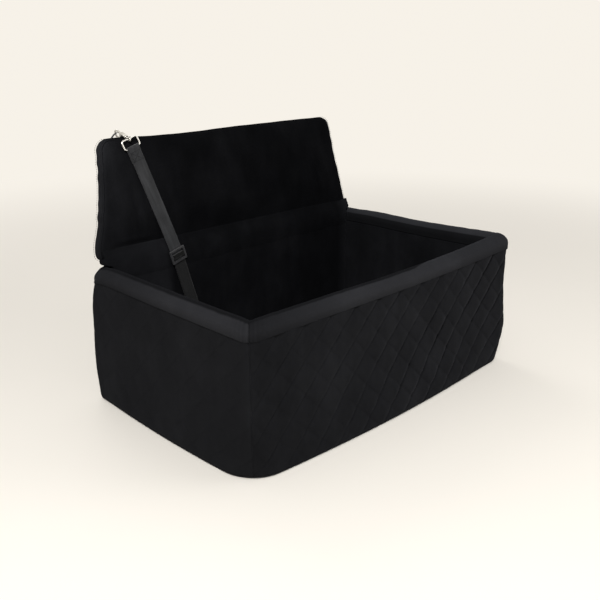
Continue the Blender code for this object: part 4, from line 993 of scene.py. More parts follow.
class SEAT_OT_rim_borders(bpy.types.Operator):
    """Makes the smooth border over each wall's round top, with its topstitching"""

    bl_idname = "seat.rim_borders"
    bl_label = "Fold the rim borders"

    def execute(self, context):
        s = sizes()
        radius = s.wall_thickness / 2
        centre = s.wall_height - radius
        bottom = s.wall_height - s.border_depth
        turns = np.linspace(0, pi, 30)
        over_top = radius - radius * np.cos(turns)
        inset = np.concatenate([np.zeros(7), over_top, np.full(7, s.wall_thickness)])
        legs = np.linspace(bottom - 0.0006, centre, 8)[:-1]
        z = np.concatenate([legs, centre + radius * np.sin(turns), legs[::-1]])
        share_in = np.clip((inset - radius) / radius, -1, 1)
        way = np.where(z > centre, share_in, np.sign(share_in))
        rise = np.where(z > centre, np.sqrt(1 - share_in**2), 0)
        arc = np.concatenate([[0], np.cumsum(np.hypot(np.diff(inset), np.diff(z)))])
        skin = 0.0012
        for number, side in enumerate(SIDES):
            half = wall_reaches(side)[0]
            shares = np.linspace(-1, 1, int(2 * half / 0.003))
            grid_share, grid_arc = np.meshgrid(shares, arc, indexing="ij")
            flat = np.stack([grid_share * half, grid_arc, np.full_like(grid_arc, number)], axis=-1)
            edge = (1 - np.abs(grid_share)) * half
            across = np.sin(grid_arc / arc[-1] * pi)
            wavy = across * (0.4 if side == "rear" else 1)
            puff = 0.0009 * across**0.5
            puff = puff + 0.0008 * ripples(flat * (1, 0.35, 1), 0.06, 71 + number) * wavy
            puff = puff + 0.0005 * ripples(flat * (1, 0.7, 1), 0.016, 77 + number) * wavy
            pleats = np.sin(grid_share * half * 2 * pi / PLEAT_PITCH + 2 * ripples(flat, 0.04, 83))
            puff = puff + 0.0007 * np.exp(-edge / 0.018) * pleats - 0.0016 * np.exp(-edge / 0.0022)
            # Over the top the puffed grid lies outside, and on both legs the plain one does
            puffed_z = z + rise * puff
            plain_z = np.broadcast_to(z - rise * skin, grid_share.shape)
            puffed = settled(self.along(side, grid_share, inset - way * puff, puffed_z))
            plain_inset = np.broadcast_to(inset + way * skin, grid_share.shape)
            plain = settled(self.along(side, grid_share, plain_inset, plain_z))
            piece = shell(f"rim_border_cloth_{side}", puffed, plain, "rim")
            turn = np.broadcast_to(np.arccos(np.clip(1 - inset / radius, -1, 1)), grid_share.shape)
            # Stores the painted light and shade of the border on the cloth.
            store_painted_tones(piece, puffed, painted_rim_light(side, grid_share * half, turn, puffed_z))
            fit(piece, "box", f"rim_border_{side}", fill=0.8)
            row = np.linspace(-0.992, 0.992, 240)
            level = np.full_like(row, bottom + 0.0028)
            rows = [
                settled(self.along(side, row, np.full_like(row, under), level))
                for under in (-0.0009, s.wall_thickness + 0.0009)
            ]
            stitches(f"border_stitches_{side}", rows, "box")
        return {"FINISHED"}

    def along(self, side, share, inset, z):
        return inner_points(side, share, z, inset, sizes().fabric_gap)


class SEAT_OT_corner_tapes(bpy.types.Operator):
    """Makes the binding tape behind each corner seam, from the foot up over the rim and down inside"""

    bl_idname = "seat.corner_tapes"
    bl_label = "Bind the corner seams"

    def execute(self, context):
        s = sizes()
        radius = s.wall_thickness / 2
        centre = s.wall_height - radius
        under = 0.0030
        for side in SIDES:
            half = wall_reaches(side)[0]
            z = np.linspace(0.0036, s.wall_height - s.border_depth, 44)
            outside = wall_points(side, np.full_like(z, half), z, np.full_like(z, under), 0)
            turn = np.linspace(0, pi, 26)
            inset = radius - (radius - under) * np.cos(turn)
            height = centre + (radius - under) * np.sin(turn)
            over = inner_points(side, np.ones_like(turn), height, inset, 0)
            z = np.linspace(centre - 0.006, FLOOR_HIGH.z + 0.002, 30)
            inside = inner_points(side, np.ones_like(z), z, np.full_like(z, s.wall_thickness - 0.0012), 0)
            path = settled(resample(np.vstack([outside, over, inside]), 0.004))
            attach(rod(f"corner_tape_{side}", path, 0.0021, "tape", 10), "box")
        return {"FINISHED"}


class SEAT_OT_linings(bpy.types.Operator):
    """Makes the plush lining of the walls and floor, and the cloth under the base with its grip dots"""

    bl_idname = "seat.linings"
    bl_label = "Line the box"

    def execute(self, context):
        s = sizes()
        low = FLOOR_HIGH.z + s.fabric_gap
        high = s.wall_height - s.border_depth
        for number, side in enumerate(SIDES):
            half = wall_reaches(side)[0]
            share = np.linspace(-1, 1, int(2 * half / 0.004))
            z = np.linspace(low, high, 54)
            grid_share, grid_z = np.meshgrid(share, z)
            flat = np.stack([grid_share * half, grid_z, np.full_like(grid_z, number * 0.3)], axis=-1)
            edge = (1 - np.abs(grid_share)) * half
            upright = np.minimum(grid_z - low, high - grid_z)
            fade = (1 - np.exp(-edge / 0.012)) * (1 - np.exp(-upright / 0.012))
            swell = 0.0008 + 0.0007 * ripples(flat, 0.09, 101 + number)
            swell = swell + 0.0003 * ripples(flat, 0.03, 107 + number)
            faces = []
            for inset in (s.wall_thickness + fade * swell, np.full_like(grid_z, s.wall_thickness - 0.002)):
                faces.append(settled(inner_points(side, grid_share, grid_z, inset, s.fabric_gap)))
            piece = shell(f"lining_cloth_{side}", *faces, "lining")
            fit(piece, "box", f"lining_{side}", fill=0.4)
            self.foam(side)
        self.floor()
        self.base()
        return {"FINISHED"}

    def foam(self, side):
        """The foam inside a wall, which follows the settled cloth on both its faces."""
        s = sizes()
        outer, inner = 0.0068, s.wall_thickness - 0.0032
        middle, radius = (outer + inner) / 2, (inner - outer) / 2
        centre = s.wall_height - s.wall_thickness / 2 - 0.001
        turn = np.linspace(0, pi, 13)
        legs = np.linspace(FLOOR_LOW.z, centre, 24)
        inset = np.concatenate([np.full(23, outer), middle - radius * np.cos(turn), np.full(23, inner)])
        z = np.concatenate([legs[:-1], centre + radius * np.sin(turn), legs[-2::-1]])
        share = np.linspace(-0.955, 0.955, 110)
        grid_share, grid_inset = np.meshgrid(share, inset, indexing="ij")
        grid_z = np.broadcast_to(z, grid_inset.shape)
        rings = settled(inner_points(side, grid_share, grid_z, grid_inset, 0.004))
        piece = loft(f"wall_foam_{side}", rings, "foam")
        fit(piece, "box", f"foam_board_{side}", fill=0.9)

    def outline(self, z, inset):
        """The box's outline at a height and an inset from its faces."""
        parts = ((-1, -0.9, 9), (-0.88, 0.88, 40), (0.9, 1, 9))
        share = np.concatenate([np.linspace(*part) for part in parts])
        z, inset = np.full_like(share, z), np.full_like(share, inset)
        return np.concatenate([inner_points(side, share, z, inset, 0)[:-1] for side in SIDES])

    def floor(self):
        s = sizes()
        outline = self.outline(0.02, s.wall_thickness - 0.0033)
        levels = [np.full(len(outline), z) for z in (FLOOR_LOW.z, FLOOR_HIGH.z)]
        rings = [np.column_stack([outline[:, :2], level]) for level in levels]
        piece = loft("floor_cloth", rings, "lining")
        fit(piece, "box", "floor_lining")

    def base(self):
        """The bottom cloth, drawn in at its edge, and moulded grip dots on it."""
        rings = []
        for z, extra in ((0.0030, 0.0), (0.0016, 0.0), (0.0008, 0.0006), (0.0005, 0.0016)):
            outline = self.outline(z, float(edge_inset(np.array(z))) + extra)
            ring = settled(np.column_stack([outline[:, :2], np.full(len(outline), z)]))
            ring[:, 2] = z
            rings.append(ring)
        piece = loft("bottom_cloth", rings, "base_cloth")
        fit(piece, "box", "base_cover")
        self.dots()

    def dots(self):
        """Staggered rows of low dots, which the base's thin cloth carries."""
        s = sizes()
        tree = scatter_tree("grip_dots", 8, 5, {"Width": 0.0032, "Height": 0.0012}, False)
        pitch = 0.017
        points = []
        for row, y in enumerate(np.arange(-s.box_depth / 2 + 0.045, s.box_depth / 2 - 0.044, pitch)):
            first = -s.box_length / 2 + 0.06 + (pitch / 2 if row % 2 else 0)
            points += [(x, y, 0.0006) for x in np.arange(first, s.box_length / 2 - 0.059, pitch)]
        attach(run_tree("grip_dots", points, [], tree, {"Material": material("plastic")}), "box")


class SEAT_OT_cushion(bpy.types.Operator):
    """Stuffs the loose cushion with Cloth, then sews its side seam"""

    bl_idname = "seat.cushion"
    bl_label = "Stuff the cushion"

    voxel: length("Face size", "Face size that the cushion is stuffed at", 0.006)
    cap: length("Largest swell", "How far a point may swell", 0.006)

    def execute(self, context):
        half = (CUSHION_HIGH - CUSHION_LOW) / 2
        base = CUSHION_LOW.z
        thick = 0.046
        rings = []
        for share, height in (
            (0.88, 0.002), (0.955, 0.004), (0.985, 0.012), (0.99, 0.5 * thick), (0.985, thick - 0.012),
            (0.955, thick - 0.003), (0.88, thick), (0.72, thick + 0.004), (0.5, thick + 0.0075),
            (0.25, thick + 0.0095), (0.05, thick + 0.010),
        ):
            outline = self.outline(half.x, half.y, 16)
            rings.append([(x * share, y * share, base + height) for x, y in outline])
        piece = loft("cushion_cover", rings, "plush")
        remesh(piece, self.voxel)
        rest = coordinates(piece)
        seam = np.abs(rest[:, 2] - base - thick / 2) < self.voxel * 0.6
        edge = np.maximum(np.abs(rest[:, 0]) / half.x, np.abs(rest[:, 1]) / half.y) > 0.9
        floor = rest[:, 2] < base + 0.0025
        inflate(piece, 4.0, 20, self.cap, (seam & edge) | floor)
        points = coordinates(piece)
        points[:, 2] += 0.0014 * ripples(points, 0.11, 131) * clamp((points[:, 2] - base) / thick)
        reach = np.array((half.x + 0.003, half.y + 0.003, CUSHION_HIGH.z + 0.006))
        set_coordinates(piece, np.clip(points, (-reach[0], -reach[1], base), reach))
        subdivide(piece)
        fit(piece, "cushion", "seat_cushion", fill=0.7)
        outline = self.outline(half.x * 0.992, half.y * 0.992, 24)
        ring = np.array([(x, y, base + thick / 2) for x, y in outline])
        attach(rod("cushion_welt", ring, 0.0016, "plush", 10, closed=True), "cushion")
        return {"FINISHED"}

    def outline(self, half_x, half_y, steps):
        """A rounded rectangle whose sides are drawn in between the corners."""
        ring = []
        for side in SIDES:
            share = np.linspace(-1, 1, 4 * steps + 1)[:-1]
            a = np.sign(share) * (1 - (1 - np.abs(share)) ** 1.35)
            along, out = {"front": (a, -1), "right": (1, a), "rear": (-a, 1), "left": (-1, -a)}[side]
            for u, v in zip(*np.broadcast_arrays(along, out)):
                reach = (abs(u) ** 14 + abs(v) ** 14) ** (1 / 14)
                x, y = u / reach, v / reach
                pull_x = 0.007 * (1 - y * y) * x**4
                pull_y = 0.007 * (1 - x * x) * y**4
                ring.append((x * half_x - np.sign(x) * pull_x, y * half_y - np.sign(y) * pull_y))
        return ring


def rounded_polygon(corners, radii, steps):
    """The outline of a convex polygon with rounded corners."""
    outline = []
    for index, corner in enumerate(corners):
        to_before = (corners[index - 1] - corner).normalized()
        to_after = (corners[(index + 1) % len(corners)] - corner).normalized()
        half_angle = to_before.angle(to_after) / 2
        centre = corner + (to_before + to_after).normalized() * (radii[index] / sin(half_angle))
        tangent = radii[index] / np.tan(half_angle)
        first, last = (corner + way * tangent - centre for way in (to_before, to_after))
        turn = pi - 2 * half_angle
        for share in (step / steps for step in range(steps + 1)):
            part, rest = sin(share * turn) / sin(turn), sin((1 - share) * turn) / sin(turn)
            outline.append(centre + first * rest + last * part)
    return outline


PANEL_EDGE = 0.014  # the radius of the backrest's edge, and half its thickness
PANEL_BOTTOM = sqrt((PANEL_EDGE + 0.0018) ** 2 - PANEL_EDGE**2) - PANEL_EDGE
PANEL_HEIGHT = 0.1974
PANEL_TOP = PANEL_BOTTOM + PANEL_HEIGHT
LEASH_X = -0.170  # where the middle of the leash strap crosses the fold
EYE_WIRE = 0.0015
EYE_DROP = 0.0032  # how much lower the eye's bar hangs than the middle of its node
EYE_Z = PANEL_TOP - 0.0143 - EYE_DROP
EYE_X = LEASH_X - EYE_Z * np.tan(SLANT)
UP_STRAP = np.array([-sin(SLANT), 0, cos(SLANT)])
ACROSS_STRAP = np.array([cos(SLANT), 0, sin(SLANT)])
TO_REAR = np.array([0, 1.0, 0])
HOOK_LOW = 0.0070  # where the hook's barrel begins, along the swivel


def panel_outline(inset):
    """The backrest's outline at an inset from its edge, in even steps."""
    s = sizes()
    lean_in = (s.backrest_low - s.backrest_top) / 2 / PANEL_HEIGHT
    side_inset = inset * hypot(1, lean_in)
    low = s.backrest_low / 2 - lean_in * inset - side_inset
    top = s.backrest_top / 2 + lean_in * inset - side_inset
    z_low, z_top = PANEL_BOTTOM + inset, PANEL_TOP - inset
    corners = [Vector(place) for place in ((-low, z_low), (low, z_low), (top, z_top), (-top, z_top))]
    radii = [max(0.009 - inset, 0.003)] * 2 + [max(0.022 - inset, 0.003)] * 2
    ring = rounded_polygon(corners, radii, 10)
    dense = []
    for index, point in enumerate(ring):
        after = ring[(index + 1) % len(ring)]
        pieces = 1 if index % 11 < 10 else (26 if index // 11 % 2 else 84)
        dense += [point.lerp(after, k / pieces) for k in range(pieces)]
    return np.array([(point.x, point.y) for point in dense])


def panel_ring(radius, turn):
    """A ring round the panel's edge in its own frame: turn 0 faces the front, half a turn the rear."""
    flat = panel_outline(PANEL_EDGE - radius * sin(turn))
    depth = np.full(len(flat), PANEL_EDGE - radius * cos(turn))
    return np.column_stack([flat[:, 0], depth, flat[:, 1]])


def placed(matrix, points):
    """Points from a frame of their own in the world."""
    array = np.array(matrix)
    return np.asarray(points) @ array[:3, :3].T + array[:3, 3]


def on_panel(points):
    return placed(PANEL, points)


def eye_plane():
    """How far the eye's bar stands before the plane of the backrest's fold, in the panel's own frame."""
    s = sizes()
    return -(0.005 + s.fabric_gap + s.webbing_thickness + s.fabric_gap / 2)


def panel_settled(points):
    """Draws the backrest's edge in and out a little, as its stuffing does: bowed in at the left."""
    moved = points.copy()
    x, z = points[:, 0], points[:, 2]
    flat = points * (1, 0, 1)
    edge = clamp((np.abs(x) - 0.19) / 0.09)
    high = clamp((z - 0.11) / 0.07)
    moved[:, 0] -= 0.0062 * bell(0.024, x + 0.309) * bell(0.020, z - 0.014)
    moved[:, 2] -= 0.0040 * bell(0.022, x + 0.309, z - PANEL_BOTTOM)
    moved[:, 2] += 0.0024 * bell(0.05, x + 0.245) * high
    bow = 0.0036 * bell(0.045, z - 0.118) * edge
    moved[:, 0] += np.where(x < 0, bow, -0.4 * bow) + 0.0007 * ripples(flat, 0.05, 149) * edge
    moved[:, 0] += 0.0012 * ripples(flat, 0.022, 179) * edge
    moved[:, 2] -= (0.0018 * bell(0.07, x + 0.10) + 0.0006 * ripples(flat, 0.06, 151)) * high
    return moved


class SEAT_OT_backrest(bpy.types.Operator):
    """Stuffs the backrest with Cloth between its sewn seams, and adds its folds, welts and hinge strip"""

    bl_idname = "seat.backrest"
    bl_label = "Stuff the backrest"

    voxel: length("Face size", "Face size that the backrest is stuffed at", 0.005)
    cap: length("Largest swell", "How far a point may swell", 0.0045)

    def execute(self, context):
        piece = loft("backrest_cover", self.rings(0), "painted_light_plush")
        remesh(piece, self.voxel)
        rest = coordinates(piece)
        seam = PANEL_EDGE * cos(pi / 4)
        depth = np.abs(rest[:, 1] - PANEL_EDGE)
        sewn = np.abs(depth - seam) < self.voxel * 0.45
        low = (rest[:, 2] < PANEL_BOTTOM + 0.006) & (depth < seam + 0.003)
        inflate(piece, 3.0, 20, self.cap, sewn | low)
        subdivide(piece)
        points = panel_settled(self.folds(coordinates(piece)))
        set_coordinates(piece, on_panel(points))
        self.paint(piece, points)
        # Stores the backrest's painted light and shade on its cloth.
        store_painted_tones(piece, coordinates(piece), self.painted_tones(points))
        covers = ("backrest_front_cover", "backrest_side_band", "backrest_rear_cover")
        fit(piece, "backrest", *covers, fill=0.75)
        rings = [on_panel(panel_settled(ring)) for ring in self.rings(0.0046)]
        filling = loft("backrest_filling", rings, "foam")
        fit(filling, "backrest", "backrest_foam", fill=0.9)
        self.seams()
        self.hinge()
        self.apron()
        return {"FINISHED"}

    def rings(self, under):
        """Rings over the panel's front, round its edge and over its rear, at a depth under its surface."""
        flat = panel_outline(PANEL_EDGE)
        front, rear = [], []
        for share in (0.02, 0.3, 0.62, 0.85):
            swell = 1 - share**2.2
            front.append(self.level(flat, share, under - 0.0046 * swell))
            rear.append(self.level(flat, share, 2 * PANEL_EDGE - under + 0.0020 * swell))
        edge = [panel_ring(PANEL_EDGE - under, turn) for turn in np.linspace(0, pi, 13)]
        return front + edge + rear[::-1]

    def level(self, flat, share, depth):
        """A share of the panel's outline about its middle, at a depth."""
        centre = (PANEL_BOTTOM + PANEL_TOP) / 2
        z = centre + (flat[:, 1] - centre) * share
        return np.column_stack([flat[:, 0] * share, np.full(len(flat), depth), z])

    def folds(self, points):
        """The soft unevenness of the stuffing, and the folds near the lower corners."""
        points = points.copy()
        front = points[:, 1] < PANEL_EDGE * 0.5
        rear = points[:, 1] > PANEL_EDGE * 1.5
        flat = points * (1, 0, 1)
        inside = clamp((0.28 - np.abs(points[:, 0])) / 0.03)
        inside *= clamp((points[:, 2] - PANEL_BOTTOM - 0.012) / 0.02)
        inside *= clamp((PANEL_TOP - points[:, 2] - 0.012) / 0.02)
        wave = (0.0010 * ripples(flat, 0.10, 151) + 0.0005 * ripples(flat, 0.035, 157)) * inside
        points[:, 1] -= np.where(front, wave, 0)
        points[:, 1] += np.where(rear, wave * 0.6, 0)
        flat = points[:, (0, 2)]
        for start, end, depth, width in (
            ((-0.236, 0.103), (-0.223, 0.031), 0.0026, 0.0060),
            ((-0.285, 0.012), (-0.205, 0.010), 0.0022, 0.0045),
            ((0.215, 0.120), (0.245, 0.040), 0.0018, 0.0070),
        ):
            a, b = np.array(start), np.array(end)
            run = clamp(((flat - a) @ (b - a)) / ((b - a) @ (b - a)))
            away = np.linalg.norm(flat - (a + run[:, None] * (b - a)), axis=1)
            fade = np.sin(np.clip(run, 0.02, 0.98) * pi) ** 0.5
            crease = depth * fade * (bell(width, away) - 0.45 * bell(width, away - 2 * width))
            points[:, 1] += np.where(front, crease, 0)
        points[:, 1] = np.where(front, np.maximum(points[:, 1], -0.0066), points[:, 1])
        return points

    def paint(self, piece, points):
        """Gives the rear its smooth velvet, and the front and the edge their plush."""
        piece.data.materials.append(material("border"))
        centres = np.array([points[list(face.vertices)].mean(0) for face in piece.data.polygons])
        seam = PANEL_EDGE + PANEL_EDGE * cos(pi / 4)
        index = (centres[:, 1] > seam).astype(np.int32)
        piece.data.polygons.foreach_set("material_index", index)

    def painted_tones(self, points):
        """Painted light and shade on the pile: lighter on the side bands and at the top left corner, and darker
        along the front towards the middle.
        """
        x, y, z = points[:, 0], points[:, 1], points[:, 2]
        # Painted light from the left: lighter at the left, darker towards the middle.
        tone = np.interp(x, (-0.30, -0.22, -0.10), (1.12, 1.0, 0.72))
        band = clamp((y - 0.0015) / 0.006) * clamp((np.abs(x) - 0.25) / 0.01)
        # Painted light on the side bands, with random unevenness.
        tone = tone + 0.95 * band + 0.12 * ripples(points, 0.05, 181)
        # Painted light at the top left corner.
        return tone + 0.45 * bell(0.020, x + 0.272) * bell(0.022, z - PANEL_TOP + 0.012)

    def seams(self):
        """A fine welt on each seam and a row of stitches beside it."""
        welts, rows = [], []
        hook_x = (PANEL.inverted() @ SWIVEL).x
        for turn, beside in ((pi / 4, pi / 4 + 0.20), (3 * pi / 4, 3 * pi / 4 - 0.20)):
            ring = panel_settled(panel_ring(PANEL_EDGE - 0.0007, turn))
            under_hook = bell(0.012, ring[:, 0] - hook_x) * (ring[:, 2] > 0.1)
            ring = on_panel(ring - under_hook[:, None] * (0, 0, 0.0012))
            welts.append(rod(f"welt_{len(welts)}", ring, 0.0007, "plush", 10, closed=True))
            row = on_panel(panel_settled(panel_ring(PANEL_EDGE + 0.0016, beside)))
            rows.append(np.vstack([row, row[:1]]))
        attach(join_pieces("backrest_welts", welts), "backrest")
        stitches("backrest_stitches", rows, "backrest")

    def hinge(self):
        """The cloth strip on the rear rim and the piping that the backrest folds on."""
        s = sizes()
        half = s.backrest_low / 2 - 0.0012
        x = np.linspace(-half, half, 200)
        path = np.column_stack([x, np.full_like(x, FOLD.y), np.full_like(x, FOLD.z)])
        piping = rod("fold_piping", path, 0.0014, "plush", 12)
        fit(piping, "backrest", "hinge_piping")
        low, high = (Vector(v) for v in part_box("hinge_strip"))
        grid_x, grid_z = np.meshgrid(x, np.linspace(low.z - 0.0008, high.z - 0.0002, 7))
        corner = bell(0.038, grid_x + s.box_length / 2, s.box_depth / 2 - low.y)
        grid_z = grid_z - 0.0108 * corner * np.linspace(1, 0, 7)[:, None]
        sway = 0.0003 * ripples(np.stack([grid_x, grid_z * 0, grid_z], axis=-1), 0.03, 163)
        faces = [np.stack([grid_x, y + sway, grid_z], axis=-1) for y in (low.y + 0.0004, high.y - 0.0004)]
        fit(shell("fold_strip", *faces, "plush"), "box", "hinge_strip")

    def apron(self):
        """The plush that runs from the backrest's front down over the fold to the rear lining."""
        s = sizes()
        low, high = (Vector(v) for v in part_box("fold_cover"))
        lining_y = s.box_depth / 2 - s.wall_thickness - s.fabric_gap
        wall_y = min((low.y + lining_y) / 2, lining_y - 0.0006)
        line = [
            (wall_y + 0.0028, low.z - 0.006),
            (wall_y + 0.0012, low.z + 0.001),
            (wall_y - 0.0002, low.z + 0.010),
            (wall_y - 0.0006, s.wall_height - 0.014),
            (wall_y, s.wall_height - 0.003),
            (wall_y + 0.0026, s.wall_height + 0.0062),
        ]
        line += [tuple(on_panel(place)[1:]) for place in ((0, -0.0006, 0.001), (0, 0.0010, 0.010))]
        line = resample(smooth_path(line), 0.0022)
        along = unit(np.gradient(line, axis=0))
        normal = np.column_stack([-along[:, 1], along[:, 0]])
        level = line[:, 1] - s.wall_height
        left_half, right_half = (
            high.x - 0.0004 + 0.0110 * spread * spread * (3 - 2 * spread)
            for spread in (clamp((level + 0.0060) / 0.0040), clamp((level + 0.0015) / 0.007))
        )
        share = np.linspace(-1, 1, 240)
        x = np.where(share < 0, left_half[:, None], right_half[:, None]) * share
        turned = clamp((level + 0.0065) / 0.0035) * clamp((0.0085 - level) / 0.0035)
        end = np.linspace(1, 0, 10)[:-1]
        x = np.hstack([-left_half[:, None] - 0.0038 * np.sin(end * pi / 2) * turned[:, None], x])
        back = np.hstack([0.0150 * end**1.5 * turned[:, None], np.zeros((len(line), len(share)))])
        flat = np.stack([x, np.zeros_like(x), np.broadcast_to(line[:, 1:], x.shape)], axis=-1)
        fade = np.sin(np.linspace(0, pi, len(line)))[:, None] ** 0.6
        crumples = 0.0004 * ripples(flat * (1, 1, 2.5), 0.018, 173)
        puff = fade * (0.0004 + 0.0007 * ripples(flat, 0.05, 167) + crumples)
        grids = []
        for depth in (0.0006 + puff, -0.0006 + puff * 0.9):
            y = line[:, :1] + normal[:, :1] * depth + back
            z = line[:, 1:] + normal[:, 1:] * depth
            grids.append(np.stack([x, y, z], axis=-1))
        piece = shell("fold_apron", *grids, "lining")
        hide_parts("fold_cover")
        start, end = (0, wall_y, s.wall_height - 0.002), (0, FOLD.y, FOLD.z + 0.006)
        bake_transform(piece)
        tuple(start)
        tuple(end)


def ribbon(name, path, across, width, thickness, finish="webbing"):
    """Webbing along a path, with rounded edges and a UV map in metres. across is its width's direction."""
    path = np.asarray(path, dtype=float)
    along = unit(np.gradient(path, axis=0))
    across = np.broadcast_to(np.asarray(across, dtype=float), path.shape)
    across = unit(across - along * (across * along).sum(-1, keepdims=True))
    up = np.cross(along, across)
    half, edge = width / 2, thickness / 2
    turns = np.linspace(-pi / 2, pi / 2, 5)[1:-1]
    section = []
    for side in (-1, 1):
        for v in np.linspace(side * (half - edge), side * (edge - half), 9):
            section.append((v, side * edge * (0.86 if abs(v) < half * 0.8 else 1.0)))
        section += [(-side * (half - edge + edge * cos(a)), -side * edge * sin(a)) for a in turns]
    section = np.array(section)
    rings = path[:, None] + across[:, None] * section[None, :, :1] + up[:, None] * section[None, :, 1:]
    run = np.concatenate([[0], np.cumsum(np.linalg.norm(np.diff(path, axis=0), axis=1))])
    uvs = np.column_stack([np.repeat(run, len(section)), np.tile(section[:, 0], len(path))])
    return loft(name, rings, finish, uvs=uvs)


class SEAT_OT_leash(bpy.types.Operator):
    """Makes the leash strap, its sewn fold at the eye, its floor patch and the turn over its slider"""

    bl_idname = "seat.leash"
    bl_label = "Sew the leash strap"

    def execute(self, context):
        s = sizes()
        width, thick = s.webbing_width - 0.0004, s.webbing_thickness
        half_gap = (thick + s.fabric_gap) / 2
        plane = eye_plane()
        bar = np.array([EYE_X, plane, EYE_Z])
        wrap = EYE_WIRE + s.fabric_gap + thick / 2
        fold = ((0.025, half_gap), (2.4 * wrap, half_gap), (wrap, wrap * 0.75))
        layers = [bar - UP_STRAP * run + TO_REAR * depth for run, depth in fold]
        layers += [bar + (TO_REAR * cos(a) + UP_STRAP * sin(a)) * wrap for a in np.linspace(0, pi, 9)]
        layers += [bar - UP_STRAP * run - TO_REAR * depth for run, depth in fold[::-1]]
        low_run = EYE_Z * 0.075
        layers.append(np.array([LEASH_X - low_run * np.tan(SLANT), plane - half_gap, low_run]))
        wall_y = s.box_depth / 2 - s.wall_thickness - 4 * s.fabric_gap - 0.0012 - thick / 2
        end_z = FLOOR_HIGH.z + 2 * s.fabric_gap + s.webbing_width / 2 * sin(SLANT)
        heights = (s.wall_height, s.wall_height - s.wall_thickness / 2, 0.16, 0.09, end_z)
        world = [*on_panel(layers), *(self.on_wall(wall_y, z) for z in heights)]
        path = resample(smooth_path(world), 0.0022)
        piece = ribbon("leash_strap", path, ACROSS_STRAP, width, thick)
        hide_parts("leash_webbing")
        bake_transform(piece)
        self.box_stitch(bar, plane - half_gap - thick / 2, width)
        y = wall_y - thick - s.fabric_gap
        path = np.array([self.on_wall(y, z) for z in np.linspace(end_z, end_z + 0.030, 14)])
        patch = ribbon("anchor_patch", path, ACROSS_STRAP, s.webbing_width, thick)
        fit(patch, "box", "leash_anchor_patch")
        ways = (ACROSS_STRAP, TO_REAR, UP_STRAP)
        turn_over_bar("leash_turn", SLIDER, *ways, width, "slider", "leash_slider_loop")
        return {"FINISHED"}

    def on_wall(self, y, z):
        """Where the strap's middle is at a height, below the fold."""
        return LEASH_X + (FOLD.z - z) * np.tan(SLANT), y, z

    def box_stitch(self, bar, front, width):
        """The stitches that hold the strap's fold below the eye's bar."""
        top, low, half = 0.0075, 0.0235, width / 2 - 0.0028
        corners = []
        for run, across in ((top, -half), (top, half), (low, half), (low, -half)):
            corner = bar - UP_STRAP * run + ACROSS_STRAP * across
            corner[1] = front - 0.0003
            corners.append(corner)
        crossed_box("leash_box_stitch", corners, 0.00042)


def turn_over_bar(name, centre, across, through, along, width, body, node):
    """Webbing over a slider's bar, with both ends in its slots. through points at the surface behind it."""
    s = sizes()
    thick = s.webbing_thickness
    half_thick, half_bar = 0.0016, 0.0021
    rise, side = (half + s.fabric_gap + thick / 2 for half in (half_thick, half_bar))
    turns = [(-side, half_thick - thick), (-side, -rise * 0.2), (-side, -rise * 0.9)]
    turns.append((-side * 0.5, -rise * 1.04))
    turns += [(-z, y) for z, y in turns[::-1]]
    path = np.array([np.array(centre) + along * z + through * y for z, y in turns])
    path = resample(smooth_path(path), 0.0008)
    # The turn is made of the painted shade webbing.
    fit(ribbon(name, path, across, width - 0.0004, thick, "painted_shade_webbing"), body, node)


class SEAT_OT_fixing_strap(bpy.types.Operator):
    """Makes the strap across the backrest's rear, its sewn patches and the turn over its adjuster"""

    bl_idname = "seat.fixing_strap"
    bl_label = "Sew the fixing strap"

    def execute(self, context):
        s = sizes()
        thick = s.webbing_thickness
        height = 0.115
        half_bar = 0.0036
        strap_y = 2 * PANEL_EDGE + 0.002 + s.fabric_gap + thick / 2
        lift = 0.0095 + 2 * s.fabric_gap + thick
        _, rear, up = np.array(PANEL)[:3, :3].T
        for name, sign, start in (("right", 1, 0.030), ("left", -1, 0.0030)):
            bar = start + 0.0095 - half_bar
            slot = bar - s.fabric_gap - thick / 2
            bend, end = 0.0006, bar + half_bar + 0.024
            corners = [(0.235, 0), (slot + bend, 0), (slot, bend)]
            corners += [(slot, lift - bend), (slot + bend, lift), (end, lift)]
            path = resample(on_panel([(sign * x, strap_y + y, height) for x, y in corners]), 0.0016)
            piece = ribbon(f"fixing_webbing_{name}", path, up, s.webbing_width, thick)
            fit(piece, "backrest", f"fixing_strap_{name}")
            y = strap_y + thick + s.fabric_gap
            local = [(sign * x, y, height) for x in np.linspace(0.199, 0.235, 16)]
            patch = ribbon(f"strap_patch_{name}", on_panel(local), up, s.webbing_width, thick)
            fit(patch, "backrest", f"fixing_patch_{name}")
            face = thick / 2 + 0.0002
            corners = ((0.202, -0.0095), (0.202, 0.0095), (0.232, 0.0095), (0.232, -0.0095))
            corners = [(sign * x, y + face, height + z) for x, z in corners]
            crossed_box(f"strap_patch_stitch_{name}", corners, 0.0004)
            lines = []
            for x in (bar + half_bar + 0.005, bar + half_bar + 0.009):
                heights = np.linspace(height - 0.010, height + 0.010, 12)
                lines.append(on_panel([(sign * x, strap_y + lift + face, z) for z in heights]))
            stitches(f"fold_stitch_{name}", lines, "backrest", 0.0024, 0.0004, "webbing_thread")
        centre = sum((Vector(v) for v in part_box("strap_adjuster")), Vector()) / 2
        ways = (up, -rear, np.array([1.0, 0, 0]))
        turn_over_bar("adjuster_turn", centre, *ways, s.webbing_width, "backrest", "strap_adjuster_loop")
        return {"FINISHED"}


def hook_frame():
    """The hook's own frame: Z along the swivel, Y towards its mouth."""
    turn = Matrix.Rotation(-SLANT, 4, "Y") @ Matrix.Rotation(-radians(54), 4, "X")
    rotation = Matrix.Rotation(-LEAN, 4, "X") @ turn
    return Matrix.Translation(SWIVEL) @ rotation


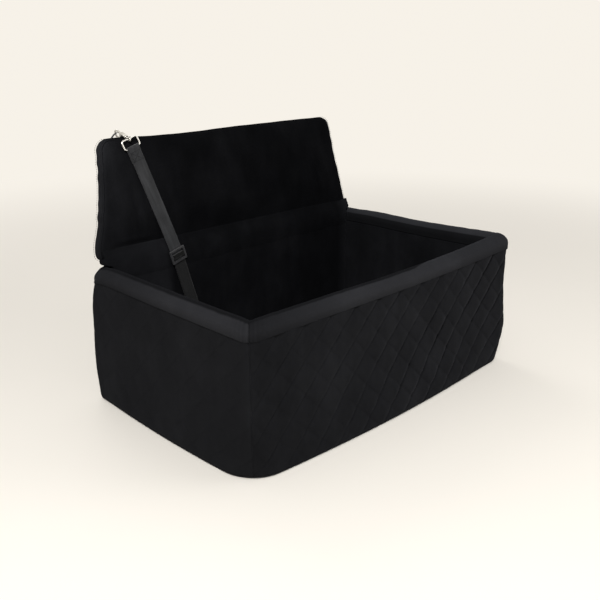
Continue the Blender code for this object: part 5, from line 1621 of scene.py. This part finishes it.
class SEAT_OT_metal(bpy.types.Operator):
    """Makes the wire eye, the swivel post, the snap hook and the loop that it hangs in"""

    bl_idname = "seat.metal"
    bl_label = "Cast the eye and hook"

    def execute(self, context):
        self.eye()
        self.post()
        self.hook()
        self.hanging_loop()
        return {"FINISHED"}

    def eye(self):
        half, height, dip = 0.0125 + 0.0036, 0.0125 + EYE_DROP, 0.0125 + EYE_DROP - 0.0016
        top = [(half, height), (0.005, height), (0, dip), (-0.005, height), (-half, height)]
        corners = [(-half, 0), (half, 0), *top]
        radii = (0.0032, 0.0032, 0.0032, 0.0022, 0.0022, 0.0022, 0.0032)
        outline = rounded_polygon([Vector(corner) for corner in corners], radii, 6)
        dense = resample(np.array([(p.x, 0, p.y) for p in outline + outline[:1]]), 0.0011)[:-1]
        place = PANEL @ Matrix.Translation((EYE_X, eye_plane(), EYE_Z))
        place = place @ Matrix.Rotation(-SLANT, 4, "Y") @ Matrix.Rotation(-radians(6), 4, "X")
        piece = rod("eye_wire", placed(place, dense), EYE_WIRE, "nickel", 18, closed=True)
        fit(piece, "backrest", "leash_eye")

    def post(self):
        place = hook_frame()
        ring = [(0, 0.0032 * cos(a), 0.0032 * sin(a)) for a in np.linspace(0, 2 * pi, 28, endpoint=False)]
        loop = rod("ring", placed(place, ring), 0.0011, "nickel", 14, closed=True)
        neck = HOOK_LOW + 0.0016 + 0.0003
        profile = [
            (0.0014, 0.0030), (0.0017, 0.0036), (0.0017, neck), (0.0023, neck + 0.0001), (0.0024, neck + 0.0003),
            (0.0024, neck + 0.0013), (0.0021, neck + 0.0016),
        ]
        piece = join_pieces("swivel", [loop, turned("shank", profile, place, "nickel")])
        fit(piece, "backrest", "swivel_post")

    def hook(self):
        place = hook_frame()
        low, top = HOOK_LOW, 0.0220
        profile = [
            (0.0021, low + 0.0016), (0.0021, low + 0.0003), (0.0024, low), (0.0031, low), (0.0036, low + 0.0004),
            (0.0038, low + 0.0010), (0.0038, low + 0.0024), (0.0034, low + 0.0030), (0.0034, low + 0.0038),
            (0.0038, low + 0.0044), (0.0038, top - 0.0010), (0.0036, top - 0.0004), (0.0030, top),
            (0.0008, top + 0.0001),
        ]
        barrel = turned("barrel", profile, place, "nickel")
        bend, bight, wire = 0.0070, top + 0.0070, 0.0018
        path = [(0, 0, z) for z in np.linspace(top - wire, bight, 8)]
        path += [(0, bend * (1 - cos(a)), bight + bend * sin(a)) for a in np.linspace(0, pi, 26)[1:]]
        path += [(0, 2 * bend, bight - 0.0012), (0, 2 * bend, bight - 0.0025 - 0.0004)]
        bow = rod("bow", placed(place, path), wire, "nickel", 18)
        ears = []
        for sign in (-1, 1):
            x = sign * (0.0015 + 0.0003 + 0.0006)
            outline = [(0.0028, 0.0184), (0.0028, 0.0220)]
            turns = np.linspace(0, pi, 12)
            outline += [(0.0061 + 0.0018 * sin(a), 0.0202 + 0.0018 * cos(a)) for a in turns]
            rings = [[place @ Vector((x + dx, y, z)) for y, z in outline] for dx in (-0.0006, 0.0006)]
            ears.append(loft(f"ear_{sign}", rings, "nickel"))
        pin = [(x, 0.0061, 0.0202) for x in np.linspace(-0.0036, 0.0036, 4)]
        rivet = rod("rivet", placed(place, pin), 0.0008, "nickel", 14)
        fit(join_pieces("hook_body", [barrel, bow, *ears, rivet]), "hook", "snap_hook")

    def hanging_loop(self):
        """The webbing loop over the backrest's top edge, in which the hook hangs."""
        s = sizes()
        middle = PANEL.inverted() @ (hook_frame() @ Vector((0, HOOK_LOW, 0.0290)))
        middle.z += 0.0031
        depth, half, foot_run = middle.y, 0.015, 0.012
        edge = PANEL_EDGE - sqrt(PANEL_EDGE**2 - (depth - 0.0035 - PANEL_EDGE) ** 2)
        foot = PANEL_TOP - edge + s.fabric_gap + 0.0005
        rises = [(half + foot_run, 0), (half, 0), (half * 0.72, 0.45), (half * 0.36, 0.88)]
        arch = [(-x, rise) for x, rise in rises] + [(0, 1)] + rises[::-1]
        local = [(middle.x + x, depth, foot + (middle.z - foot) * rise) for x, rise in arch]
        path = resample(smooth_path(local), 0.0009)
        piece = ribbon("hook_loop", on_panel(path), np.array(PANEL)[:3, 1], 0.0058, 0.0010)
        fit(piece, "backrest", "hanging_loop")


class SEAT_OT_stage(bpy.types.Operator):
    """Lays the pale floor, hangs the soft lamps and stands the camera"""

    bl_idname = "seat.stage"
    bl_label = "Set the stage"

    def execute(self, context):
        scene = context.scene
        scene.view_settings.view_transform = "Standard"
        self.floor(scene)
        self.world(scene)
        self.lamp("key", (-1.75, -1.7, 2.05), 0.9, 78.0)
        self.lamp("fill", (1.9, -2.3, 1.3), 1.8, 18.0)
        self.lamp("back", (0.6, 2.3, 2.2), 1.8, 14.0)
        view = scene.seat_camera
        data = bpy.data.cameras.new("camera")
        data.lens = view.lens
        data.sensor_width = 36
        camera = new_object("camera", data)
        camera.location = view.place
        camera.rotation_euler = (pi / 2 - view.pitch, 0, -view.azimuth)
        scene.camera = camera
        return {"FINISHED"}

    def floor(self, scene):
        made = Nodes("floor")
        made.set(Roughness=0.9, Specular_IOR_Level=0.1)
        tone = tuple(scene.seat_colours.floor)
        cloudy = made.ramp(made.noise(made.place(), 1.3), [(0.3, shade(tone, 0.985)), (0.7, tone)])
        made.feed(Base_Color=cloudy)
        self.fade_out(made, tone)
        mesh = bpy.data.meshes.new("floor")
        mesh.from_pydata([(-30, -30, 0), (30, -30, 0), (30, 30, 0), (-30, 30, 0)], [], [(0, 1, 2, 3)])
        mesh.materials.append(made.material)
        new_object("floor", mesh)

    def fade_out(self, made, tone):
        """Blends the floor into the backdrop's colour, further out than the seat's shadow reaches."""
        away = made.add("ShaderNodeVectorMath", operation="LENGTH")
        made.link(made.place(), away.inputs[0])
        far = made.add("ShaderNodeMapRange", From_Min=0.85, From_Max=2.4, interpolation_type="SMOOTHSTEP")
        made.link(away.outputs["Value"], far.inputs["Value"])
        seen = made.add("ShaderNodeLightPath").outputs["Is Camera Ray"]
        backdrop = made.add("ShaderNodeEmission", Color=(*tone, 1.0), Strength=1.0)
        mix = made.add("ShaderNodeMixShader")
        made.link(made.math("MULTIPLY", far.outputs["Result"], seen), mix.inputs["Fac"])
        made.link(made.shader.outputs["BSDF"], mix.inputs[1])
        made.link(backdrop.outputs["Emission"], mix.inputs[2])
        made.link(mix.outputs["Shader"], made.tree.nodes["Material Output"].inputs["Surface"])

    def world(self, scene):
        world = bpy.data.worlds.new("studio")
        world.use_nodes = True
        tree = world.node_tree
        light = tree.nodes["Background"]
        light.inputs["Color"].default_value = (1.0, 0.99, 0.975, 1)
        light.inputs["Strength"].default_value = 0.40
        seen = tree.nodes.new("ShaderNodeBackground")
        seen.inputs["Color"].default_value = (*scene.seat_colours.floor, 1)
        seen.inputs["Strength"].default_value = 1.0
        path, mix = tree.nodes.new("ShaderNodeLightPath"), tree.nodes.new("ShaderNodeMixShader")
        either = tree.nodes.new("ShaderNodeMath")
        either.operation = "MAXIMUM"
        link = tree.links.new
        link(path.outputs["Is Camera Ray"], either.inputs[0])
        link(path.outputs["Is Glossy Ray"], either.inputs[1])
        link(either.outputs["Value"], mix.inputs["Fac"])
        link(light.outputs["Background"], mix.inputs[1])
        link(seen.outputs["Background"], mix.inputs[2])
        link(mix.outputs["Shader"], tree.nodes["World Output"].inputs["Surface"])
        scene.world = world

    def lamp(self, name, place, size, power):
        data = bpy.data.lights.new(name, "AREA")
        data.shape = "DISK"
        data.size = size
        data.energy = power
        lamp = new_object(name, data)
        lamp.location = place
        lamp.rotation_euler = (Vector((0, 0, 0.2)) - Vector(place)).to_track_quat("-Z", "Y").to_euler()


OPERATORS = (
    SEAT_OT_finishes,
    SEAT_OT_quilted_walls,
    SEAT_OT_rim_borders,
    SEAT_OT_corner_tapes,
    SEAT_OT_linings,
    SEAT_OT_cushion,
    SEAT_OT_backrest,
    SEAT_OT_leash,
    SEAT_OT_fixing_strap,
    SEAT_OT_metal,
    SEAT_OT_stage,
)


class SEAT_PT_panel(bpy.types.Panel):
    """Lists the steps that dress the seat"""

    bl_idname = "SEAT_PT_panel"
    bl_label = "Dog Seat"
    bl_space_type = "VIEW_3D"
    bl_region_type = "UI"
    bl_category = "Dog Seat"

    def draw(self, context):
        for operator in OPERATORS:
            self.layout.operator(operator.bl_idname)
        for group in (context.scene.seat_sizes, context.scene.seat_colours, context.scene.seat_camera):
            for name in group.__annotations__:
                self.layout.prop(group, name)


CLASSES = (SeatSizes, SeatColours, SeatCamera, *OPERATORS, SEAT_PT_panel)


def register():
    for made in CLASSES:
        bpy.utils.register_class(made)
    bpy.types.Scene.seat_sizes = bpy.props.PointerProperty(type=SeatSizes)
    bpy.types.Scene.seat_colours = bpy.props.PointerProperty(type=SeatColours)
    bpy.types.Scene.seat_camera = bpy.props.PointerProperty(type=SeatCamera)


def unregister():
    del bpy.types.Scene.seat_camera, bpy.types.Scene.seat_colours, bpy.types.Scene.seat_sizes
    for made in reversed(CLASSES):
        bpy.utils.unregister_class(made)


def main():
    register()
    for operator in OPERATORS:
        group, name = operator.bl_idname.split(".")
        getattr(getattr(bpy.ops, group), name)()


if __name__ == "__main__":
    main()
